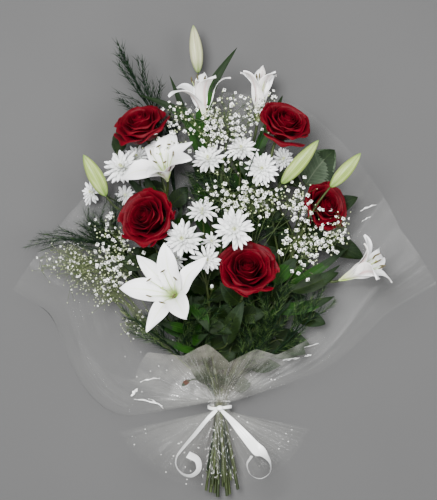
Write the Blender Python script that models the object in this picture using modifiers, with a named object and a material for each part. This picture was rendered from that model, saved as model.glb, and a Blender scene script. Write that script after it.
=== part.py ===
"""A hand-tied bouquet in a clear film wrap, lying on its back on a table.

Red roses, white lilies and their buds, white spray chrysanthemums, gypsophila, asparagus
fern and broad leaves, all carried by stems that pass through one binding.

The layout is in millimetres and the finished meshes are in metres, +Z up. +Y runs from the
cut stems to the flower heads, and the front of the bouquet faces +Z. The origin lies on the
flat back of the wrap, under the middle of the flower heads.
"""

import math
import random

import bmesh
import bpy
import numpy as np
from mathutils import Matrix, Vector
from mathutils.bvhtree import BVHTree

MM = 0.001
UP = Vector((0, 0, 1))

# Driving dimensions, in millimetres
TIE = Vector((2, -240, 22))
TIE_HALF_LENGTH = 9
STEM_GAP = 0.4
BEND_LENGTH = 26
FOOT_LEVEL = -378
FOOT_SPREAD = 0.026
FOOT_RISE = 4
SEAT_GAP = 0.35
CLEARANCE = 0.3

ROSE_PETALS = 9
ROSE_DEPTH = 27
PETAL_THICKNESS = 0.9
LEAF_THICKNESS = 0.8
FLORET_RADIUS = 3.6
FILM_THICKNESS = 0.8
TWINE_RADIUS = 0.7
RIBBON_WIDTH = 15
RIBBON_THICKNESS = 1.0

MATERIALS = {
    # name: (colour, roughness, alpha)
    "rose_red": ((0.34, 0.004, 0.012), 0.55, 1.0),
    "lily_white": ((0.86, 0.87, 0.82), 0.45, 1.0),
    "bud_green": ((0.72, 0.78, 0.52), 0.45, 1.0),
    "chrysanthemum_white": ((0.88, 0.9, 0.88), 0.6, 1.0),
    "gypsophila": ((0.72, 0.76, 0.62), 0.7, 1.0),
    "fern_green": ((0.02, 0.07, 0.025), 0.6, 1.0),
    "leaf_green": ((0.035, 0.12, 0.025), 0.45, 1.0),
    "stem_green": ((0.08, 0.19, 0.04), 0.5, 1.0),
    "clear_film": ((0.9, 0.92, 0.93), 0.1, 0.25),
    "white_ribbon": ((0.9, 0.91, 0.9), 0.35, 1.0),
    "binding_twine": ((0.55, 0.43, 0.25), 0.85, 1.0),
}

for old_object in list(bpy.data.objects):
    bpy.data.objects.remove(old_object)

bouquet = bpy.data.collections.new("flower_bouquet")
bpy.context.scene.collection.children.link(bouquet)
scrap = bpy.data.collections.new("pieces_being_joined")
bpy.context.scene.collection.children.link(scrap)

# The surface of every finished node, in the layout's millimetres, for later pieces to avoid
taken_space = {}


def make_materials():
    for name, (colour, roughness, alpha) in MATERIALS.items():
        material = bpy.data.materials.new(name)
        material.use_nodes = True
        shader = material.node_tree.nodes["Principled BSDF"]
        shader.inputs["Base Color"].default_value = (*colour, 1)
        shader.inputs["Roughness"].default_value = roughness
        shader.inputs["Metallic"].default_value = 0
        shader.inputs["Alpha"].default_value = alpha
        material.diffuse_color = (*colour, alpha)


# Small helpers


def lerp(low, high, share):
    return low + (high - low) * share


def at_share(values, share):
    """The value at a share of a list of evenly spaced values."""
    place = share * (len(values) - 1)
    index = min(int(place), len(values) - 2)
    return lerp(values[index], values[index + 1], place - index)


def smooth(share):
    share = min(max(share, 0), 1)
    return share * share * (3 - 2 * share)


def unit(*direction):
    return Vector(direction).normalized()


def turned(degrees):
    return Matrix.Rotation(math.radians(degrees), 4, "Z")


def pointing(base, axis, spin=0.0):
    """A frame at base whose Z runs along axis, turned by spin degrees about it."""
    turn = Vector(axis).to_track_quat("Z", "Y").to_matrix().to_4x4()
    return Matrix.Translation(base) @ turn @ turned(spin)


def as_object(name, bm):
    mesh = bpy.data.meshes.new(name)
    bm.to_mesh(mesh)
    bm.free()
    made = bpy.data.objects.new(name, mesh)
    scrap.objects.link(made)
    return made


def evaluated_mesh(made):
    """The object's mesh with its modifiers applied."""
    bpy.context.view_layer.update()
    graph = bpy.context.evaluated_depsgraph_get()
    return bpy.data.meshes.new_from_object(made.evaluated_get(graph))


def apply_modifiers(made):
    mesh = evaluated_mesh(made)
    made.modifiers.clear()
    made.data = mesh
    return made


def thicken(made, thickness, offset=0.0):
    wall = made.modifiers.new("thickness", "SOLIDIFY")
    wall.thickness = thickness
    wall.offset = offset
    return apply_modifiers(made)


# Basic pieces, in millimetres


def rod(start, end, start_radius, end_radius=0.0, sides=3):
    """A straight twig or filament, or a needle if it comes to a point."""
    bm = bmesh.new()
    bmesh.ops.create_cone(
        bm,
        cap_ends=True,
        segments=sides,
        radius1=start_radius,
        radius2=end_radius,
        depth=(end - start).length,
        matrix=pointing((start + end) / 2, end - start),
    )
    return as_object("rod", bm)


def ball(centre, radii, axis=UP, around=3, rings=2):
    """A stretched sphere; with 3 around and 2 rings it is a lozenge, widest along its Y."""
    bm = bmesh.new()
    bmesh.ops.create_uvsphere(bm, u_segments=around, v_segments=rings, radius=1)
    shape = pointing(centre, axis) @ Matrix.Diagonal((*radii, 1))
    bmesh.ops.transform(bm, matrix=shape, verts=bm.verts)
    return as_object("ball", bm)


def tube(points, radii):
    """A four-sided stem along the points, closed at both ends."""
    curve = bpy.data.curves.new("tube", "CURVE")
    curve.dimensions = "3D"
    curve.bevel_depth = 1.0
    curve.bevel_resolution = 0
    curve.use_fill_caps = True
    spline = curve.splines.new("POLY")
    spline.points.add(len(points) - 1)
    for target, point, radius in zip(spline.points, points, radii):
        target.co = (*point, 1)
        target.radius = radius
    guide = bpy.data.objects.new("tube", curve)
    scrap.objects.link(guide)
    bm = bmesh.new()
    bm.from_mesh(evaluated_mesh(guide))
    bpy.data.objects.remove(guide)
    bmesh.ops.remove_doubles(bm, verts=bm.verts, dist=0.001)
    return as_object("tube", bm)


def sheet(rows):
    """A petal or leaf round the Z axis, through rows of (radius, height, half width, wrap, lift).

    Wrap 1 bends a row round the axis itself and 0 leaves it straight. Lift raises its ends.
    """
    bm = bmesh.new()
    last = len(rows) - 1
    bmesh.ops.create_grid(bm, x_segments=2, y_segments=last, size=1)
    for vert in bm.verts:
        radius, height, half_width, wrap, lift = rows[round((vert.co.y + 1) / 2 * last)]
        side = vert.co.x
        bend = wrap / max(abs(radius), 1)
        angle = side * half_width * bend
        if bend:
            x, y = radius - (1 - math.cos(angle)) / bend, math.sin(angle) / bend
        else:
            x, y = radius, side * half_width
        vert.co = (x, y, height + lift * side * side)
    return bm


def thick_sheet(bm, thickness):
    """The sheet as a closed solid, split into triangles alike on both faces."""
    bmesh.ops.remove_doubles(bm, verts=bm.verts, dist=0.01)
    bmesh.ops.triangulate(bm, faces=bm.faces, quad_method="SHORT_EDGE")
    return thicken(as_object("sheet", bm), thickness)


def leaning_line(start, length, tilts, count):
    """Points (radius, height) of a line that leans from the axis by the tilts in turn."""
    radius, height = start
    points = [start]
    for step in range(1, count):
        lean = math.radians(at_share(tilts, (step - 0.5) / (count - 1)))
        radius += length / (count - 1) * math.sin(lean)
        height += length / (count - 1) * math.cos(lean)
        points.append((radius, height))
    return points


# Joining pieces and keeping them clear of each other


def surface(made, place=None):
    place = place or Matrix.Identity(4)
    points = [place @ vertex.co for vertex in made.data.vertices]
    return BVHTree.FromPolygons(points, [face.vertices[:] for face in made.data.polygons])


def fits(piece, own):
    """True if the piece keeps clear of every finished node but its own."""
    tree = surface(piece)
    points = [vertex.co for vertex in piece.data.vertices]
    for name, other in taken_space.items():
        if name in own:
            continue
        if any(other.find_nearest(point, CLEARANCE)[0] is not None for point in points):
            return False
        if tree.overlap(other):
            return False
    return True


def first_that_fits(makers, own):
    """The first piece that keeps clear, from functions that each make one."""
    for make in makers:
        piece = make()
        if fits(piece, own):
            return piece
        bpy.data.objects.remove(piece)
    raise RuntimeError(f"nothing fits for {own[0]}")


def finish_node(name, made, material, place=None):
    """Gives the finished solid its name, material, place and real scale."""
    place = place or Matrix.Identity(4)
    taken_space[name] = surface(made, place)
    made.name = name
    made.data.name = name
    for owner in list(made.users_collection):
        owner.objects.unlink(made)
    bouquet.objects.link(made)
    made.data.materials.clear()
    made.data.materials.append(bpy.data.materials[material])
    made.data.transform(Matrix.Scale(MM, 4))
    made.location = place.translation * MM
    made.rotation_euler = place.to_euler()
    made.data.shade_smooth()
    made.data.set_sharp_from_angle(angle=math.radians(40))


def join_node(name, pieces, material, place=None):
    """One closed body from overlapping pieces, which are drawn in the frame of its place."""
    body, rest = pieces[0], pieces[1:]
    if rest:
        others = bpy.data.collections.new(name + "_pieces")
        for piece in rest:
            others.objects.link(piece)
        joined = body.modifiers.new("join", "BOOLEAN")
        joined.operation = "UNION"
        joined.operand_type = "COLLECTION"
        joined.collection = others
        joined.solver = "MANIFOLD"
        apply_modifiers(body)
        for piece in rest:
            bpy.data.objects.remove(piece)
        bpy.data.collections.remove(others)
    finish_node(name, body, material, place)


# Stems. Each makes for its target in one sweep from the tie, where all are pressed together.

STEMS = {
    # name: (radius, target of the sweep, height of the cut foot)
    "rose_1_stem": (2.3, (-84, 104, 60), -372),
    "rose_2_stem": (2.3, (72, 108, 76), -376),
    "rose_3_stem": (2.3, (-78, 0, 84), -360),
    "rose_4_stem": (2.3, (124, 24, 58), -366),
    "rose_5_stem": (2.3, (34, -76, 84), -354),
    "lily_1_stem": (2.6, (-14, 120, 58), -378),
    "lily_2_stem": (2.4, (48, 140, 50), -374),
    "lily_3_stem": (2.6, (-80, 46, 66), -370),
    "lily_4_stem": (2.5, (-50, -104, 84), -356),
    "lily_5_stem": (2.6, (104, -30, 66), -364),
    "chrysanthemum_stem_1": (2.0, (-112, 40, 38), -368),
    "chrysanthemum_stem_2": (2.0, (-18, -50, 78), -350),
    "chrysanthemum_stem_3": (2.0, (30, 84, 60), -362),
    "gypsophila_1": (1.3, (4, 120, 74), -358),
    "gypsophila_2": (1.3, (54, 10, 92), -346),
    "gypsophila_3": (1.3, (-150, -92, 30), -340),
    "gypsophila_4": (1.3, (-112, -50, 56), -348),
    "gypsophila_5": (1.3, (118, -24, 76), -344),
    "fern_1": (1.3, (-80, 150, 40), -352),
    "fern_2": (1.3, (30, 60, 86), -342),
    "fern_3": (1.3, (-130, -30, 34), -336),
    "fern_4": (1.3, (-68, -150, 60), -338),
    "fern_5": (1.3, (60, -150, 62), -336),
    "fern_6": (1.3, (90, -150, 44), -334),
    "leaf_stem_1": (1.7, (120, 40, 34), -352),
    "leaf_stem_2": (1.7, (92, -120, 34), -340),
    "leaf_stem_3": (1.7, (-14, -140, 62), -340),
}
# Heights above the tie at which every stem has a point, so that chords keep their order
COMMON_LEVELS = (34, 78, 150, 250)
# Heights above the tie at which the sweeps are compared
TEST_HEIGHTS = (TIE_HALF_LENGTH, 20, 30, 45, 62, 85, 110, 145, 180, 225, 270, 320)
PACK_ROUNDS = 500
FIRST_PLACES = 14
PULL_TO_MIDDLE = 0.02
PUSH_APART = 0.35
# How soon two stems that part count as round
SKEW_SHARE = 4
CUP_DEPTH = 4


def fan(away):
    """How far the stems have spread at this height from the tie; nothing inside it."""
    free = max(away - TIE_HALF_LENGTH, 0)
    return math.sqrt(free * free + BEND_LENGTH * BEND_LENGTH) - BEND_LENGTH


def pack_stems():
    """Places in the tie, pressed together so that no two sweeps come too near each other.

    Each pair is compared at the tie and at some heights above it, across their own slope.
    The stems are square with a corner up, so for two that run side by side it is the sum of
    their distances along X and along Z that counts.
    """
    radii = np.array([radius for radius, _, _ in STEMS.values()])
    targets = np.array([target for _, target, _ in STEMS.values()])
    spreads = np.array([fan(target[1] - TIE.y) for target in targets])
    aims = targets[:, (0, 2)] - np.array((TIE.x, TIE.z))
    places = aims / spreads[:, None] * FIRST_PLACES
    places -= places.mean(axis=0)
    wanted = radii[:, None] + radii[None, :] + STEM_GAP * math.sqrt(2)
    np.fill_diagonal(wanted, 0)
    for turn in range(PACK_ROUNDS):
        places *= 1 - PULL_TO_MIDDLE * (1 - turn / PACK_ROUNDS) ** 2
        for height in TEST_HEIGHTS:
            spread = fan(height)
            slopes = (aims - places) / spreads[:, None]
            steep = (fan(height + 1) - fan(height)) * slopes
            at_height = places + slopes * spread
            apart = at_height[:, None] - at_height[None, :]
            mean_steep = (steep[:, None] + steep[None, :]) / 2
            along = (apart * mean_steep).sum(axis=2) ** 2 / (1 + (mean_steep**2).sum(axis=2))
            length = np.sqrt((apart**2).sum(axis=2)) + 1e-6
            across = np.sqrt(np.maximum(1 - along / length**2, 0))
            parting = np.abs(steep[:, None] - steep[None, :]).sum(axis=2)
            skew = np.minimum(parting * SKEW_SHARE, 1)
            square = np.abs(apart).sum(axis=2)
            distance = (square + (length - square) * skew) * across
            reached = (spreads[:, None] >= spread) & (spreads[None, :] >= spread)
            short = np.where(reached, np.maximum(wanted - distance, 0), 0)
            pushes = (apart / length[:, :, None] * short[:, :, None]).sum(axis=1)
            places += pushes * PUSH_APART
    return {name: Vector(place) for name, place in zip(STEMS, places)}


IN_TIE = pack_stems()


def corner_reach(name):
    """How far the corners of a stem lie from the middle of the tie."""
    radius = STEMS[name][0]
    across, rise = map(abs, IN_TIE[name])
    return max(math.hypot(across + radius, rise), math.hypot(across, rise + radius))


BUNDLE_RADIUS = max(map(corner_reach, STEMS))


def stem_point(name, y):
    """The centre of a stem's sweep at a height of the layout."""
    target = Vector(STEMS[name][1])
    across, rise = IN_TIE[name]
    away = y - TIE.y
    if away < 0:
        spread = fan(-away)
        lift = FOOT_RISE * spread / fan(TIE.y - FOOT_LEVEL)
        return TIE + Vector((across * (1 + FOOT_SPREAD * spread), away, rise + lift))
    share = fan(away) / fan(target.y - TIE.y)
    x = lerp(TIE.x + across, target.x, share)
    z = lerp(TIE.z + rise, target.z, share)
    return Vector((x, y, z))


def stem_heading(name, y):
    return (stem_point(name, y + 2) - stem_point(name, y - 2)).normalized()


def sweep_points(name):
    _, target, foot = STEMS[name]
    levels = [foot, TIE.y - TIE_HALF_LENGTH, TIE.y + TIE_HALF_LENGTH]
    levels += [TIE.y + level for level in COMMON_LEVELS if TIE.y + level < target[1] - 8]
    return [stem_point(name, level) for level in [*levels, target[1]]]


def bent_line(start, leave, end, arrive, count, bow=Vector((0, 0, 0))):
    """Points after start of a smooth line that leaves and arrives in given directions."""
    length = (end - start).length
    points = []
    for index in range(1, count + 1):
        t = index / count
        share = t * t * (3 - 2 * t)
        point = start.lerp(end, share)
        point += leave * (t * (1 - t) ** 2 * length) - arrive * (t * t * (1 - t) * length)
        points.append(point + bow * math.sin(math.pi * t))
    return points


# Sideways bows that a neck or stalk tries in turn
BOWS = [
    Vector(bow)
    for bow in (
        (0, 0, 0),
        (0, 0, -7),
        (0, 0, 7),
        (8, 0, 0),
        (-8, 0, 0),
        (12, 0, -8),
        (-12, 0, -8),
        (12, 0, 8),
        (-12, 0, 8),
        (0, 0, -14),
        (0, 0, 14),
        (18, 0, 0),
        (-18, 0, 0),
        (0, 14, -8),
    )
]

# Sweeps and necks, which are laid before anything that branches from them, and their lines
runs = {}
run_lines = {}


def lay_run(name, tip=None, arrive=None, tip_radius=None, count=3, own=(), end=0):
    """The tube of a stem, carried on by a neck to its flower's seat or its frond's end.

    The end is the length of a straight piece after the neck.
    """
    radius = STEMS[name][0]
    sweep = sweep_points(name)
    if tip is None:
        runs[name] = tube(sweep, [radius] * len(sweep))
    else:
        leave = stem_heading(name, sweep[-1].y)
        radii = [radius] * len(sweep)
        radii += [lerp(radius, tip_radius, index / count) for index in range(1, count + 1)]
        last = [tip + arrive * end] if end else []
        radii += [tip_radius] * len(last)

        def neck(bow):
            bent = bent_line(sweep[-1], leave, tip, arrive, count, bow)
            run_lines[name] = sweep + bent + last
            return tube(run_lines[name], radii)

        makers = [lambda bow=bow: neck(bow) for bow in BOWS]
        runs[name] = first_that_fits(makers, (name, *own))
    taken_space[name] = surface(runs[name])


def stalk(name, heights, tip, arrive, radius, count=2, own=(), cup=None):
    """A branch from the sweep to a tip, by the first height and bow that keep it clear.

    A cup is the radius of a flared end, which starts CUP_DEPTH before the tip.
    """

    def branch(height, bow):
        start = stem_point(name, height)
        leave = (stem_heading(name, height) + (tip - start).normalized()).normalized()
        points = [start, *bent_line(start, leave, tip, arrive, count, bow)]
        radii = [lerp(radius, radius * 0.8, index / count) for index in range(count + 1)]
        if cup:
            points.append(tip + arrive * CUP_DEPTH)
            radii.append(cup)
        return tube(points, radii)

    makers = []
    for bow in BOWS:
        for height in heights:
            makers.append(lambda height=height, bow=bow: branch(height, bow))
    return first_that_fits(makers, (name, *own))


LEAF_ARCH = math.radians(14)
LEAF_KEEL = 0.2
LEAF_STALK = 1.2


def leaf(root, tip, half_width, facing=UP, rows=4):
    """A pointed leaf, its inner end a short stalk that is sunk in what carries it."""
    run = tip - root
    z_axis = run.normalized()
    x_axis = (facing - z_axis * facing.dot(z_axis)).normalized()
    place = Matrix((x_axis, z_axis.cross(x_axis), z_axis)).transposed().to_4x4()
    place.translation = root
    length = run.length
    leaf_rows = []
    for row in range(rows - 1):
        share = row / (rows - 1)
        width = half_width * math.sin(math.pi * share**0.8) ** 0.75
        bulge = 2.6 * length * LEAF_ARCH * share * share * (1 - share)
        leaf_rows.append((bulge, length * share, max(width, LEAF_STALK), 0, 0))
    leaf_rows.append((0, length, 0, 0, 0))
    made = thick_sheet(sheet(leaf_rows), LEAF_THICKNESS)
    for vertex in made.data.vertices:
        vertex.co.x += LEAF_KEEL * abs(vertex.co.y)
    made.data.transform(place)
    return made


# Places that a leaf's tip tries in turn
LEAF_SHIFTS = [
    Vector(shift)
    for shift in (
        (0, 0, 0),
        (0, 0, 6),
        (0, 0, -6),
        (6, 0, 4),
        (-6, 0, 4),
        (0, 8, 0),
        (0, -8, 0),
        (10, 0, -8),
        (-10, 0, -8),
        (0, 0, 14),
    )
]


def clear_leaf(name, root, tip, half_width, facing=UP, rows=4):
    makers = []
    for share in (1, 0.8):
        for shift in LEAF_SHIFTS:
            makers.append(
                lambda share=share, shift=shift: leaf(
                    root, tip + shift, half_width * share, facing, rows=rows
                )
            )
    return first_that_fits(makers, (name,))


# Roses


ROSES = {
    # number: (centre of the bloom, facing, scale, spin)
    1: ((-116, 188, 94), unit(-0.30, 0.72, 0.62), 0.95, 20),
    2: ((99, 189, 106), unit(0.34, 0.60, 0.72), 0.93, 75),
    3: ((-106, 48, 118), unit(-0.42, 0.28, 0.86), 1.06, 140),
    4: ((159, 66, 86), unit(0.52, 0.26, 0.81), 0.90, 30),
    5: ((42, -29, 128), unit(0.06, 0.50, 0.86), 1.08, 200),
}
# Leaves on rose stems: (root of the blade, tip, half width)
ROSE_LEAVES = {
    1: ((-154, 146, 60), (-142, 190, 58), 12),
    2: ((98, 112, 62), (124, 96, 58), 10),
    3: ((-112, -22, 78), (-148, -14, 76), 12),
    4: ((90, 100, 66), (116, 122, 62), 12),
    5: ((70, -70, 66), (104, -60, 58), 12),
}


HIP_RADIUS = 5
HIP_DEPTH = 8
SEPAL_REACH = 17
SEPAL_DROOP = 5


def rose_frame(number):
    centre, facing, scale, spin = ROSES[number]
    return pointing(Vector(centre) - facing * ROSE_DEPTH * scale, facing, spin)


def rose_bloom(number):
    """Petals in a spiral, each wrapped round the ones inside it, on a low bowl."""
    scale = ROSES[number][2]
    pieces = [
        ball((0, 0, 7), (16, 16, 7), around=6, rings=2),
        ball((0, 0, 24), (7, 7, 19), around=5, rings=2),
    ]
    for index in range(ROSE_PETALS):
        share = (index + 1) / ROSE_PETALS
        radius = 7 + 21 * share**1.1
        rim = radius + 2 + 11 * share**2
        top = 46 - 13 * share**1.5
        half_angle = math.radians(lerp(56, 44, share))
        rows = [
            (4 + 6 * share, 6, (4 + 6 * share) * half_angle, 1, 0),
            (radius, top * 0.7, radius * half_angle * 1.06, 1, 0),
            (rim, top, rim * half_angle * 0.66, lerp(1, 0.7, share), -3 * share),
        ]
        if share > 0.5:
            rows.insert(1, (radius * 0.9, top * 0.4, radius * half_angle, 1, 0))
        petal = thick_sheet(sheet(rows), PETAL_THICKNESS)
        petal.data.transform(turned(137.5 * index))
        pieces.append(petal)
    for piece in pieces:
        piece.data.transform(Matrix.Scale(scale, 4))
    join_node(f"rose_{number}_bloom", pieces, "rose_red", rose_frame(number))


def lay_rose_stem(number):
    facing = ROSES[number][1]
    seat = rose_frame(number).translation - facing * SEAT_GAP
    own = (f"rose_{number}_bloom",)
    lay_run(f"rose_{number}_stem", seat - facing * 3, facing, 2.2, own=own)


def calyx(place):
    """The hip under a rose, its rim drawn out into five sepals that droop."""
    bm = bmesh.new()
    bmesh.ops.create_cone(
        bm,
        cap_ends=True,
        segments=10,
        radius1=HIP_RADIUS * 0.6,
        radius2=HIP_RADIUS,
        depth=HIP_DEPTH,
        matrix=Matrix.Translation((0, 0, -SEAT_GAP - HIP_DEPTH / 2)),
    )
    rim = [vert for vert in bm.verts if vert.co.z > -SEAT_GAP - HIP_DEPTH / 2]
    for index, vert in enumerate(sorted(rim, key=lambda v: math.atan2(v.co.y, v.co.x))):
        if index % 2:
            vert.co.xy *= SEPAL_REACH / HIP_RADIUS
            vert.co.z -= SEPAL_DROOP
    bmesh.ops.triangulate(bm, faces=bm.faces)
    made = as_object("calyx", bm)
    made.data.transform(place)
    return made


def rose_stem(number):
    """The stem with its hip, five sepals and a leaf."""
    name = f"rose_{number}_stem"
    pieces = [runs[name], calyx(rose_frame(number))]
    root, tip, half_width = ROSE_LEAVES[number]
    root, tip = Vector(root), Vector(tip)
    run = (tip - root).normalized()
    top = STEMS[name][1][1]
    pieces.append(stalk(name, (top - 20, top - 40, top - 60, top), root + run * 3, run, 1.1))
    pieces.append(clear_leaf(name, root, tip, half_width))
    join_node(name, pieces, "stem_green")


# Lilies


LILIES = {
    # number: (base of the trumpet, facing, tepal length, tilts from base to tip, spin)
    1: ((-17, 186, 75), unit(-0.16, 0.92, 0.34), 96, (10, 12, 22, 60, 110), 15),
    2: ((58, 190, 58), unit(0.10, 0.97, 0.12), 92, (8, 8, 10, 34, 90), 40),
    3: ((-76, 102, 96), unit(-0.12, 0.60, 0.78), 90, (16, 20, 44, 84, 116), 10),
    4: ((-62, -70, 108), unit(-0.28, 0.22, 0.93), 100, (16, 26, 58, 82, 98), 66),
    5: ((180, -46, 78), unit(0.84, 0.42, 0.34), 92, (10, 12, 22, 64, 112), 0),
}
BUDS = {
    # number: (base, facing, length, radius, its lily's number)
    1: ((-31, 268, 40), unit(-0.10, 0.99, 0.06), 74, 10.5, 1),
    2: ((-168, 80, 86), unit(-0.46, 0.86, 0.22), 72, 12.5, 3),
    3: ((93, 98, 104), unit(0.64, 0.75, 0.14), 86, 11.5, 5),
    4: ((164, 92, 134), unit(0.66, 0.74, 0.12), 68, 10.5, 5),
}
# Leaves on lily stems: (number, height of the root, tip of the leaf, half width)
LILY_LEAVES = (
    (1, 118, (28, 302, 82), 8),
    (1, 90, (-104, 226, 60), 8),
    (1, 112, (-80, 262, 64), 7),
    (2, 120, (98, 236, 36), 8),
    (3, 10, (-146, 118, 66), 8),
    (4, -120, (-14, -124, 110), 9),
    (5, -70, (196, 4, 72), 11),
    (5, -90, (176, -70, 54), 10),
)
INNER_WIDTH = 17
OUTER_WIDTH = 11
# The widest that a tepal may be above the trumpet, as an angle to either side
INNER_ANGLE = 33
OUTER_ANGLE = 22
# Rows of a tepal that are part of the closed trumpet
TRUMPET_ROWS = 3
TEPAL_ROWS = 5
OUTER_WHORL_GAP = 1.8
STAMEN_SPREAD = 0.3
LEAST_LEAN = 7
FORK_RADIUS = 1.2
# The point of the trumpet is about half its wall lower than its middle line
LILY_SEAT_GAP = 0.8


def lily_frame(number):
    base, facing, _, _, spin = LILIES[number]
    return pointing(base, facing, spin)


def tepal_rows(line, outer):
    """Rows of one tepal, its lower ones as wide as its share of the trumpet."""
    width, angle = (OUTER_WIDTH, OUTER_ANGLE) if outer else (INNER_WIDTH, INNER_ANGLE)
    rows = []
    for row, (radius, height) in enumerate(line):
        if row < TRUMPET_ROWS:
            rows.append((radius, height, radius * math.radians(30), 1, 0))
        elif row < TEPAL_ROWS - 1:
            gap = OUTER_WHORL_GAP if outer else 0
            rows.append((radius + gap, height - gap, min(width, radius * math.radians(angle)), 1, 0))
        else:
            rows.append((radius, height, 0, 0, 0))
    return rows


def lily_bloom(number):
    """Six tepals parting from one trumpet, round six stamens and a pistil."""
    length, tilts = LILIES[number][2:4]
    line = leaning_line((0, 0), length, tilts, TEPAL_ROWS)
    lean = math.radians(max(STAMEN_SPREAD * (tilts[0] + tilts[1]), LEAST_LEAN))
    wide = tilts[1] > 15
    style = Vector((0, 0, length * 0.68))
    trumpet = bmesh.new()
    stamens = []
    for index in range(6):
        tepal = sheet(tepal_rows(line, outer=index % 2 == 1))
        bmesh.ops.transform(tepal, matrix=turned(60 * index), verts=tepal.verts)
        mesh = bpy.data.meshes.new("tepal")
        tepal.to_mesh(mesh)
        tepal.free()
        trumpet.from_mesh(mesh)
        turn = turned(60 * index + 30).to_3x3()
        spoke = turn @ Vector((math.sin(lean), 0, math.cos(lean)))
        tip = spoke * length * 0.58
        fork = turn @ Vector((FORK_RADIUS, 0, length * 0.24))
        stamens.append(rod(fork, tip, 0.5, 0.5))
        stamens.append(ball(tip, (1.3, 1.5, 4.5), UP.cross(spoke) if wide else spoke))
    pieces = [thick_sheet(trumpet, PETAL_THICKNESS), *stamens]
    pieces.append(rod(Vector((0, 0, 0.2)), style, 2.0, 0.9, 4))
    pieces.append(ball(style, (2.6, 2.6, 2)))
    join_node(f"lily_{number}_bloom", pieces, "lily_white", lily_frame(number))


def lily_bud(number):
    """A closed bud of three ridged lobes; the second one is parting at its tip."""
    base, facing, length, radius, _ = BUDS[number]
    bm = bmesh.new()
    bmesh.ops.create_uvsphere(bm, u_segments=6, v_segments=6, radius=1)
    for vert in bm.verts:
        share = (vert.co.z + 1) / 2
        level = vert.co.xy.length
        if level > 0.01:
            girth = math.sin(math.pi * share**0.85) ** 0.7
            ridge = 1 + 0.12 * math.cos(3 * math.atan2(vert.co.y, vert.co.x))
            vert.co.xy *= radius * girth * ridge / level
        vert.co.z = share * length
    pieces = [as_object("bud", bm)]
    if number == 2:
        for side in (-1, 1):
            root = Vector((side * 3.5, 0, length * 0.55))
            pieces.append(rod(root, root + unit(side * 0.2, 0, 1) * length * 0.46, 6, 1, 5))
    join_node(f"lily_bud_{number}", pieces, "bud_green", pointing(base, facing))


def lay_lily_stem(number):
    base, facing = LILIES[number][:2]
    bend = Vector(base) - facing * (LILY_SEAT_GAP + CUP_DEPTH)
    own = (f"lily_{number}_bloom",)
    lay_run(f"lily_{number}_stem", bend, facing, 1.9, own=own, end=CUP_DEPTH)


def lily_stem(number):
    """The stem with the stalks of its buds and its long leaves."""
    name = f"lily_{number}_stem"
    pieces = [runs[name]]
    top = STEMS[name][1][1]
    for bud, (base, facing, _, _, lily) in BUDS.items():
        if lily == number:
            tip = Vector(base) - facing * (SEAT_GAP + CUP_DEPTH)
            heights = (top - 25, top - 45, top - 65, top - 85, top)
            own = (f"lily_bud_{bud}",)
            pieces.append(stalk(name, heights, tip, facing, 1.7, 3, own, cup=1.5))
    for lily, height, tip, half_width in LILY_LEAVES:
        if lily == number:
            pieces.append(clear_leaf(name, stem_point(name, height), Vector(tip), half_width))
    join_node(name, pieces, "stem_green")


# Chrysanthemums


HEADS = {
    # number: (centre, facing, radius, stem)
    1: ((23, 31, 150), unit(0.05, 0.05, 1.0), 31, 2),
    2: ((-54, 17, 136), unit(-0.25, 0.25, 0.93), 30, 2),
    3: ((-24, 60, 118), unit(-0.05, 0.62, 0.78), 23, 2),
    4: ((-17, -14, 132), unit(0.22, -0.30, 0.93), 23, 2),
    5: ((-10, 14, 106), unit(0.0, 0.5, 0.86), 16, 2),
    6: ((-66, -14, 98), unit(-0.3, -0.35, 0.89), 18, 2),
    7: ((-146, 126, 86), unit(-0.28, 0.45, 0.85), 30, 1),
    8: ((-124, 142, 52), unit(-0.1, 0.6, 0.78), 23, 1),
    9: ((-194, 88, 52), unit(-0.75, 0.1, 0.66), 22, 1),
    10: ((-16, 138, 96), unit(-0.1, 0.55, 0.83), 26, 3),
    11: ((34, 154, 90), unit(-0.05, 0.6, 0.8), 24, 3),
    12: ((98, 138, 66), unit(0.35, 0.45, 0.82), 21, 3),
    13: ((64, 122, 108), unit(0.15, 0.2, 0.96), 26, 3),
    14: ((-142, 84, 40), unit(-0.3, 0.2, 0.93), 17, 1),
}
HEAD_SMALL = 20
HEAD_DEPTH = 0.28
HEAD_TURN = 13
CUP_WIDTH = 0.18


def head_frame(number):
    centre, facing, radius, _ = HEADS[number]
    return pointing(Vector(centre) - facing * radius * HEAD_DEPTH, facing, HEAD_TURN * number)


def chrysanthemum_head(number):
    """Lozenge petals in two layers round a low button."""
    radius = HEADS[number][2]
    outer, inner = (8, 5) if radius > HEAD_SMALL else (7, 3)
    middle = Vector((0, 0, radius * 0.22))
    pieces = [ball(middle, (radius * 0.4, radius * 0.4, radius * 0.22), around=6, rings=3)]
    for count, lean, reach, height, offset in (
        (outer, 82, 1.0, 0.14, 0),
        (inner, 46, 0.84, 0.22, 14),
    ):
        for index in range(count):
            turn = turned(360 * index / count + offset)
            out = turn.to_3x3() @ unit(math.tan(math.radians(lean)), 0, 1)
            centre = Vector((0, 0, radius * height)) + out * radius * reach * 0.6
            side = turn.to_3x3() @ Vector((0, 1, 0))
            petal = ball((0, 0, 0), (0.9, radius * reach * 0.22, radius * reach * 0.4))
            place = Matrix((side.cross(out), side, out)).transposed().to_4x4()
            place.translation = centre
            petal.data.transform(place)
            pieces.append(petal)
    name = f"chrysanthemum_{number:02d}"
    join_node(name, pieces, "chrysanthemum_white", head_frame(number))


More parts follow.
